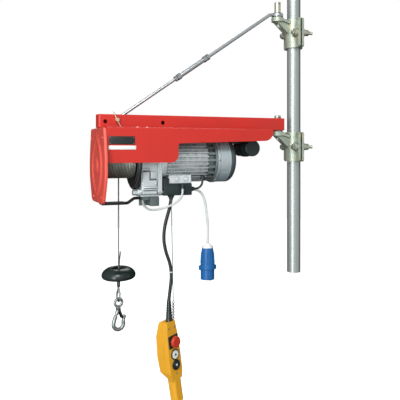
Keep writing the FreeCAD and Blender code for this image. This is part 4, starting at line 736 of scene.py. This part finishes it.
def cowl_band():
    """Bright band round the fan cowl."""
    shape = bmesh.new()
    turned(shape, [(-331.2, 75.9), (-330.6, 76.9), (-322.2, 76.9), (-321.4, 75.9), (-321.4, 75.2),
                   (-331.2, 75.2)], AXIS, ALONG, FINE)
    piece("cowl_band", shape, "dull_ring", "arm")


def cowl_rim():
    """Dark rounded rim over the shoulder at the cowl's end."""
    shape = bmesh.new()
    rim = [(-284, 75.15), (-281, 75.3)]
    for degrees in range(0, 91, 10):
        turn = math.radians(degrees)
        rim.append((-280 + 20.2 * math.sin(turn), 55 + 20.3 * math.cos(turn)))
    rim += [(-259.9, 50), (-260.4, 50), (-261, 55), (-281, 74.6), (-284, 74.6)]
    turned(shape, rim, AXIS, ALONG, FINE)
    piece("cowl_rim", shape, "rim_dark", "arm")


def rating_plate():
    """Blank plate bent round the front of the cowl."""
    shape = bmesh.new()
    outer = 75.45
    inner = outer - 0.5
    left, right = -317, -289
    rows = []
    for step in range(13):
        turn = math.radians(-118 + 3.6 * step)
        corners = ((left, outer), (right, outer), (right, inner), (left, inner))
        spots = [Vector((along, deep * math.sin(turn), deep * math.cos(turn)))
                 for along, deep in corners]
        rows.append([shape.verts.new((Vector(AXIS) + spot) * MM) for spot in spots])
    skin(shape, rows)
    piece("rating_plate", shape, "dull_ring", "arm")


def cowl_screws():
    """Six screws through the cowl's band."""
    shape = bmesh.new()
    reach = 76.6
    for number in range(6):
        turn = math.radians(30 + 60 * number)
        out = (0, math.sin(turn), math.cos(turn))
        turned(shape, [(0, 3.4), (2.2, 3.2), (2.8, 2.2), (2.8, 0.1), (-0.5, 0.1), (-0.5, 3.4)],
               (-327, reach * math.sin(turn), DRUM_LEVEL + reach * math.cos(turn)), out, 16)
    piece("cowl_screws", shape, "bright_zinc", "arm")


def base_knockouts():
    """Two knockouts and three screws on the front of the terminal base."""
    shape = bmesh.new()
    for across in (-470, -438.5):
        turned(shape, [(0, 6.6), (0.5, 6.2), (0.7, 0.1), (-0.8, 0.1), (-0.8, 7.2), (-0.2, 7.2)],
               (across, -55.6, 348), TO_FRONT, 32)
    for across, up in ((-493, 336), (-423, 336), (-493, 357)):
        turned(shape, [(0, 2.4), (0.9, 2.2), (1.4, 0.1), (-0.3, 0.1), (-0.3, 2.4)],
               (across, -55, up), TO_FRONT, 16)
    piece("base_knockouts", shape, "grey_plastic", "arm")


def gearbox_ribs():
    """Cast ribs, pads and two bolt heads on the front of the gearbox."""
    shape = bmesh.new()
    slab(shape, (44, 2.4, 4.4), (-561, -61, 322.6), soft=0.8)
    slab(shape, (44, 2.4, 3.6), (-561, -61, 316.6), soft=0.8)
    slab(shape, (27, 3, 5), (-573, -56, 381), soft=1)
    slab(shape, (20, 3, 22), (-548, -55.6, 362), soft=1)
    for up in (333, 392):
        turned(shape, [(0, 3.4), (2.4, 3.2), (3, 2.6), (3, 0.1), (-2, 0.1), (-2, 3.4)],
               (-543, -59.6, up), TO_FRONT, 6)
    piece("gearbox_ribs", shape, "cast_aluminium", "arm")


def gearbox_shadow_lines():
    """Painted shadow: dark bars beside the gearbox's raised edge and under its ribs, where shade falls.
    """
    shape = bmesh.new()
    bends = ((-584, 374.6), (-560, 374.6), (-560, 347.4), (-538, 347.4))
    bar(shape, [Vector((across, -55.6, up)) for across, up in bends], 1.5, 8)
    for up in (319.6, 313.6):
        slab(shape, (44, 1.6, 1.6), (-561, -61, up), soft=0.3)
    piece("gearbox_shadow_lines", shape, "rim_dark", "arm")


def box_lid():
    """Lid on the front of the control box, with its four screws."""
    shape = bmesh.new()
    slab(shape, (86, 1.4, 26), (-467, -60.4, 311), soft=0.6)
    for across in (-504, -430):
        for up in (303, 319):
            turned(shape, [(0, 2.5), (0.8, 2.3), (1.3, 0.1), (-0.3, 0.1), (-0.3, 2.5)],
                   (across, -61.2, up), TO_FRONT, 16)
    piece("box_lid", shape, "black_plastic", "arm")


cowl_band()
cowl_rim()
rating_plate()
cowl_screws()
base_knockouts()
gearbox_ribs()
gearbox_shadow_lines()
box_lid()

# Arm, pins and clamps ----------------------------------------------------------------------

PIN = -67
LOW_PIN_FOOT = 508
HIGH_PIN_TOP = 929.2
CLAMP_FEET = (400, 808)
CLAMP_BOLTS = (-39, 39)


def low_cotter():
    """Bent clip through the lower pivot pin."""
    shape = bmesh.new()
    loop = smooth_path([(PIN, 13, 557), (PIN, -12, 557), (PIN, -15, 557.8), (PIN, -19, 560.4),
                        (PIN, -22.6, 558), (PIN, -19, 555.6), (PIN, -15, 556.6)], 8)
    bar(shape, loop, 1.1, 8)
    bar(shape, smooth_path([(PIN, 12, 557), (PIN, 15, 557.5), (PIN - 2, 18, 559)], 6), 1.1, 8)
    piece("low_cotter", shape, "rod_steel", "mast")


def pin_washers():
    """Washers on the two pivot pins."""
    shape = bmesh.new()
    turned(shape, [(0, 11.3), (0, 17.5), (0.4, 18), (1.6, 18), (2, 17.5), (2, 11.3)],
           (PIN, 0, LOW_PIN_FOOT - 0.6), (0, 0, -1), 40)
    turned(shape, [(0, 11.3), (0, 17), (0.4, 17.5), (1.4, 17.5), (1.8, 17), (1.8, 11.3)],
           (PIN, 0, HIGH_PIN_TOP), UPRIGHT, 40)
    piece("pin_washers", shape, "dark_casting", "mast")


def arm_light_spots():
    """Painted light: two small white patches on the front wall of the arm, standing in for bright spots
    of light there.
    """
    shape = bmesh.new()
    for across in (-592, -560):
        slab(shape, (9, 1, 2.6), (across, -22.7, 514), soft=0.4)
    piece("arm_light_spots", shape, "label_white", "arm")


def threaded_bolts():
    """Clamp bolts with chamfered hexagon heads and a thread past the nut."""
    shape = bmesh.new()
    crest, root = 5.95, 5.35
    profile = [(-23.2, 0.1), (-23.2, crest), (34.6, crest)]
    for number in range(9):
        profile += [(35.5 + 1.9 * number, root), (36.4 + 1.9 * number, crest)]
    profile += [(52, 5.3), (52, 0.1)]
    for foot in CLAMP_FEET:
        for across in CLAMP_BOLTS:
            centre = (0, across, foot + 52.5)
            turned(shape, [(-31, 8.6), (-30.2, 9.9), (-23, 9.9), (-23, 0.1), (-31, 0.1)], centre,
                   ALONG, 6)
            turned(shape, profile, centre, ALONG, 24)
    piece("threaded_bolts", shape, "plated_steel", "mast", ("clamp_bolts",))


low_cotter()
pin_washers()
arm_light_spots()
threaded_bolts()

# Pendant -----------------------------------------------------------------------------------

GRIP = Matrix.Translation(at(-497.4, -33.6, -113)) @ Matrix.Rotation(
    math.radians(-7), 4, "Y") @ Matrix.Rotation(math.radians(26), 4, "Z")
FRONT = -20
RAISE = -107
LOWER = -141


def on_grip(shape):
    """Move a shape from the pendant's own frame to its place."""
    bmesh.ops.transform(shape, matrix=GRIP, verts=shape.verts)
    return shape


def arrow(name, level, way, finish, body):
    """A plain triangle on a button, pointing up or down by the sign of way."""
    shape = bmesh.new()
    high = 5.2 * way
    front = FRONT - 4
    corners = [(-5, level - high * 0.6), (5, level - high * 0.6), (0, level + high)]
    near, far = ([shape.verts.new(at(across, front + deep, up)) for across, up in corners]
                 for deep in (-0.5, 0.3))
    skin(shape, [near, far])
    piece(name, on_grip(shape), finish, body, smooth=False)


def button_guards():
    """Square plate round the stop button, and a collar round each direction button."""
    shape = bmesh.new()
    slab(shape, (42, 3.2, 40), (0, FRONT - 1.5, -64), soft=1.2)
    for level in (RAISE, LOWER):
        turned(shape, [(0.3, 13.95), (3.4, 13.95), (4, 14.4), (4, 15.6), (3.2, 16.4), (0.3, 16.7)],
               (0, FRONT + 0.5, level), TO_FRONT, 48)
    piece("button_guards", on_grip(shape), "black_plastic", "arm")


def pendant_screws():
    """Screws on the pendant's front."""
    shape = bmesh.new()
    for across, up in ((12.5, -20), (-12, -20), (0, -170), (0, -250)):
        turned(shape, [(0.2, 2.7), (0.9, 2.6), (1.2, 2.1), (0.5, 1.5), (0.5, 0.1), (-0.4, 0.1),
                       (-0.4, 2.7)], (across, FRONT, up), TO_FRONT, 20)
    piece("pendant_screws", on_grip(shape), "dark_casting", "arm")


def pendant_seal():
    """Bead along both sides of the joint between the pendant's shells."""
    shape = bmesh.new()
    for side in (1, -1):
        bar(shape, [Vector((side * across, 2, up))
                    for across, up in ((18.4, -2), (23.2, -45), (26.5, -108), (26.5, -164))], 0.55, 6)
    piece("pendant_seal", on_grip(shape), "yellow_plastic", "arm")


button_guards()
arrow("raise_mark", RAISE, 1, "label_black", "raise_button")
arrow("lower_mark", LOWER, -1, "label_white", "lower_button")
pendant_screws()
pendant_seal()

# Cable fittings, capacitor and plug --------------------------------------------------------


def boot_collars():
    """Collars moulded on the boot where the cable enters the pendant."""
    shape = bmesh.new()
    top = Vector((-488.5, -30, -47))
    foot = Vector((-489.8, -37, -120.1))
    line = (foot - top).normalized()
    for number in range(7):
        along = 7 + 8 * number
        size = 6.3 + 4.7 * along / 73.4
        turned(shape, [(along, size), (along + 0.8, size + 0.9), (along + 2.4, size + 1.0),
                       (along + 3.2, size + 0.2), (along + 3.2, size - 0.6), (along, size - 0.6)],
               top, line, 32)
    piece("boot_collars", shape, "rubber", "arm")


def cable_tie():
    """Tie that holds the strain line to the pendant's cable."""
    shape = bmesh.new()
    turned(shape, [(-1.7, 5.6), (-1.7, 6.5), (1.7, 6.5), (1.7, 5.6)], (-480, -30, 44), (0.12, 0, -1),
           32)
    slab(shape, (5, 4, 4.4), (-480, -37.3, 44), soft=0.5)
    piece("cable_tie", shape, "white_cable", "arm")


def capacitor_shelf():
    """Block between the arm and the capacitor."""
    shape = bmesh.new()
    slab(shape, (46, 30, 12), (-236, -8, 468.5), soft=2)
    piece("capacitor_shelf", shape, "black_plastic", "arm")


PLUG = (-352, -30)


def plug_ribs():
    """Grip ribs round the plug's body."""
    shape = bmesh.new()
    for number in range(16):
        turn = math.radians(40 + 22.5 * number)
        ends = [Vector((PLUG[0] + reach * math.cos(turn), PLUG[1] + reach * math.sin(turn), up))
                for reach, up in ((23.2, 62), (21.0, 99))]
        bar(shape, ends, 1.3, 8)
    piece("plug_ribs", shape, "blue_plastic", "arm")


def plug_collar():
    """Pale collar where the lead enters the plug."""
    shape = bmesh.new()
    turned(shape, [(118.8, 17.6), (119, 18.6), (116, 19.4), (115, 19.2), (115, 17.6)], (*PLUG, 0),
           UPRIGHT, 48)
    piece("plug_collar", shape, "white_plastic", "arm")


boot_collars()
cable_tie()
capacitor_shelf()
plug_ribs()
plug_collar()

# Studio ------------------------------------------------------------------------------------


def area_light(name, place, aim, size, power):
    data = bpy.data.lights.new(name, "AREA")
    data.shape = "RECTANGLE"
    data.size, data.size_y = size
    data.energy = power
    item = bpy.data.objects.new(name, data)
    item.location = place
    item.rotation_euler = (Vector(aim) - Vector(place)).to_track_quat("-Z", "Y").to_euler()
    bpy.context.collection.objects.link(item)


def world_light():
    """Soft light that is stronger from the upper left front, and white where the camera sees it."""
    world = bpy.data.worlds.new("studio")
    bpy.context.scene.world = world
    world.use_nodes = True
    tree = world.node_tree
    soft = tree.nodes["Background"]
    soft.inputs["Color"].default_value = (0.90, 0.93, 0.95, 1)
    facing = tree.nodes.new("ShaderNodeVectorMath")
    facing.operation = "DOT_PRODUCT"
    facing.inputs[1].default_value = (-0.55, -0.75, 0.36)
    tree.links.new(tree.nodes.new("ShaderNodeTexCoord").outputs["Generated"], facing.inputs[0])
    lit = tree.nodes.new("ShaderNodeMapRange")
    for key, number in (("From Min", -0.5), ("From Max", 0.9), ("To Min", 0.05), ("To Max", 0.80)):
        lit.inputs[key].default_value = number
    tree.links.new(facing.outputs["Value"], lit.inputs["Value"])
    tree.links.new(lit.outputs["Result"], soft.inputs["Strength"])
    backdrop = tree.nodes.new("ShaderNodeBackground")
    backdrop.inputs["Color"].default_value = (1, 1, 1, 1)
    seen = tree.nodes.new("ShaderNodeLightPath")
    choose = tree.nodes.new("ShaderNodeMixShader")
    tree.links.new(seen.outputs["Is Camera Ray"], choose.inputs[0])
    tree.links.new(soft.outputs[0], choose.inputs[1])
    tree.links.new(backdrop.outputs[0], choose.inputs[2])
    tree.links.new(choose.outputs[0], tree.nodes["World Output"].inputs["Surface"])


def lamps():
    """High key light, a tall strip on each side, and a light behind."""
    middle = (-0.35, 0, 0.35)
    mast = (0, 0, 0.5)
    area_light("key", (-1.5, -2.0, 2.4), middle, (1.2, 1.2), 46)
    area_light("left_strip", (-2.5, -1.9, 0.5), mast, (0.8, 3.0), 46)
    area_light("right_strip", (1.9, -1.6, 0.5), mast, (0.4, 2.6), 3)
    area_light("back", (0.4, 2.4, 2.4), middle, (1.6, 1.2), 20)


def studio_floor():
    """White floor that the object neither mirrors nor is lit by."""
    bpy.ops.mesh.primitive_plane_add(size=9, location=(-0.3, 1.2, -0.62))
    floor = bpy.context.object
    floor.name = "studio_floor"
    make = Shade("studio_floor")
    tone = make.mix(make.span(make.noise(1.5, 3), 0.3, 0.7), rgba([0.93] * 3), rgba([0.95] * 3))
    make.wire(tone, make.shader.inputs["Base Color"])
    make.shader.inputs["Roughness"].default_value = 0.9
    make.shader.inputs["Emission Color"].default_value = (1, 1, 1, 1)
    make.shader.inputs["Emission Strength"].default_value = 0.76
    floor.data.materials.append(make.made)
    floor.visible_diffuse = False
    floor.visible_glossy = False


world_light()
lamps()
studio_floor()
bpy.context.scene.view_settings.view_transform = "Standard"
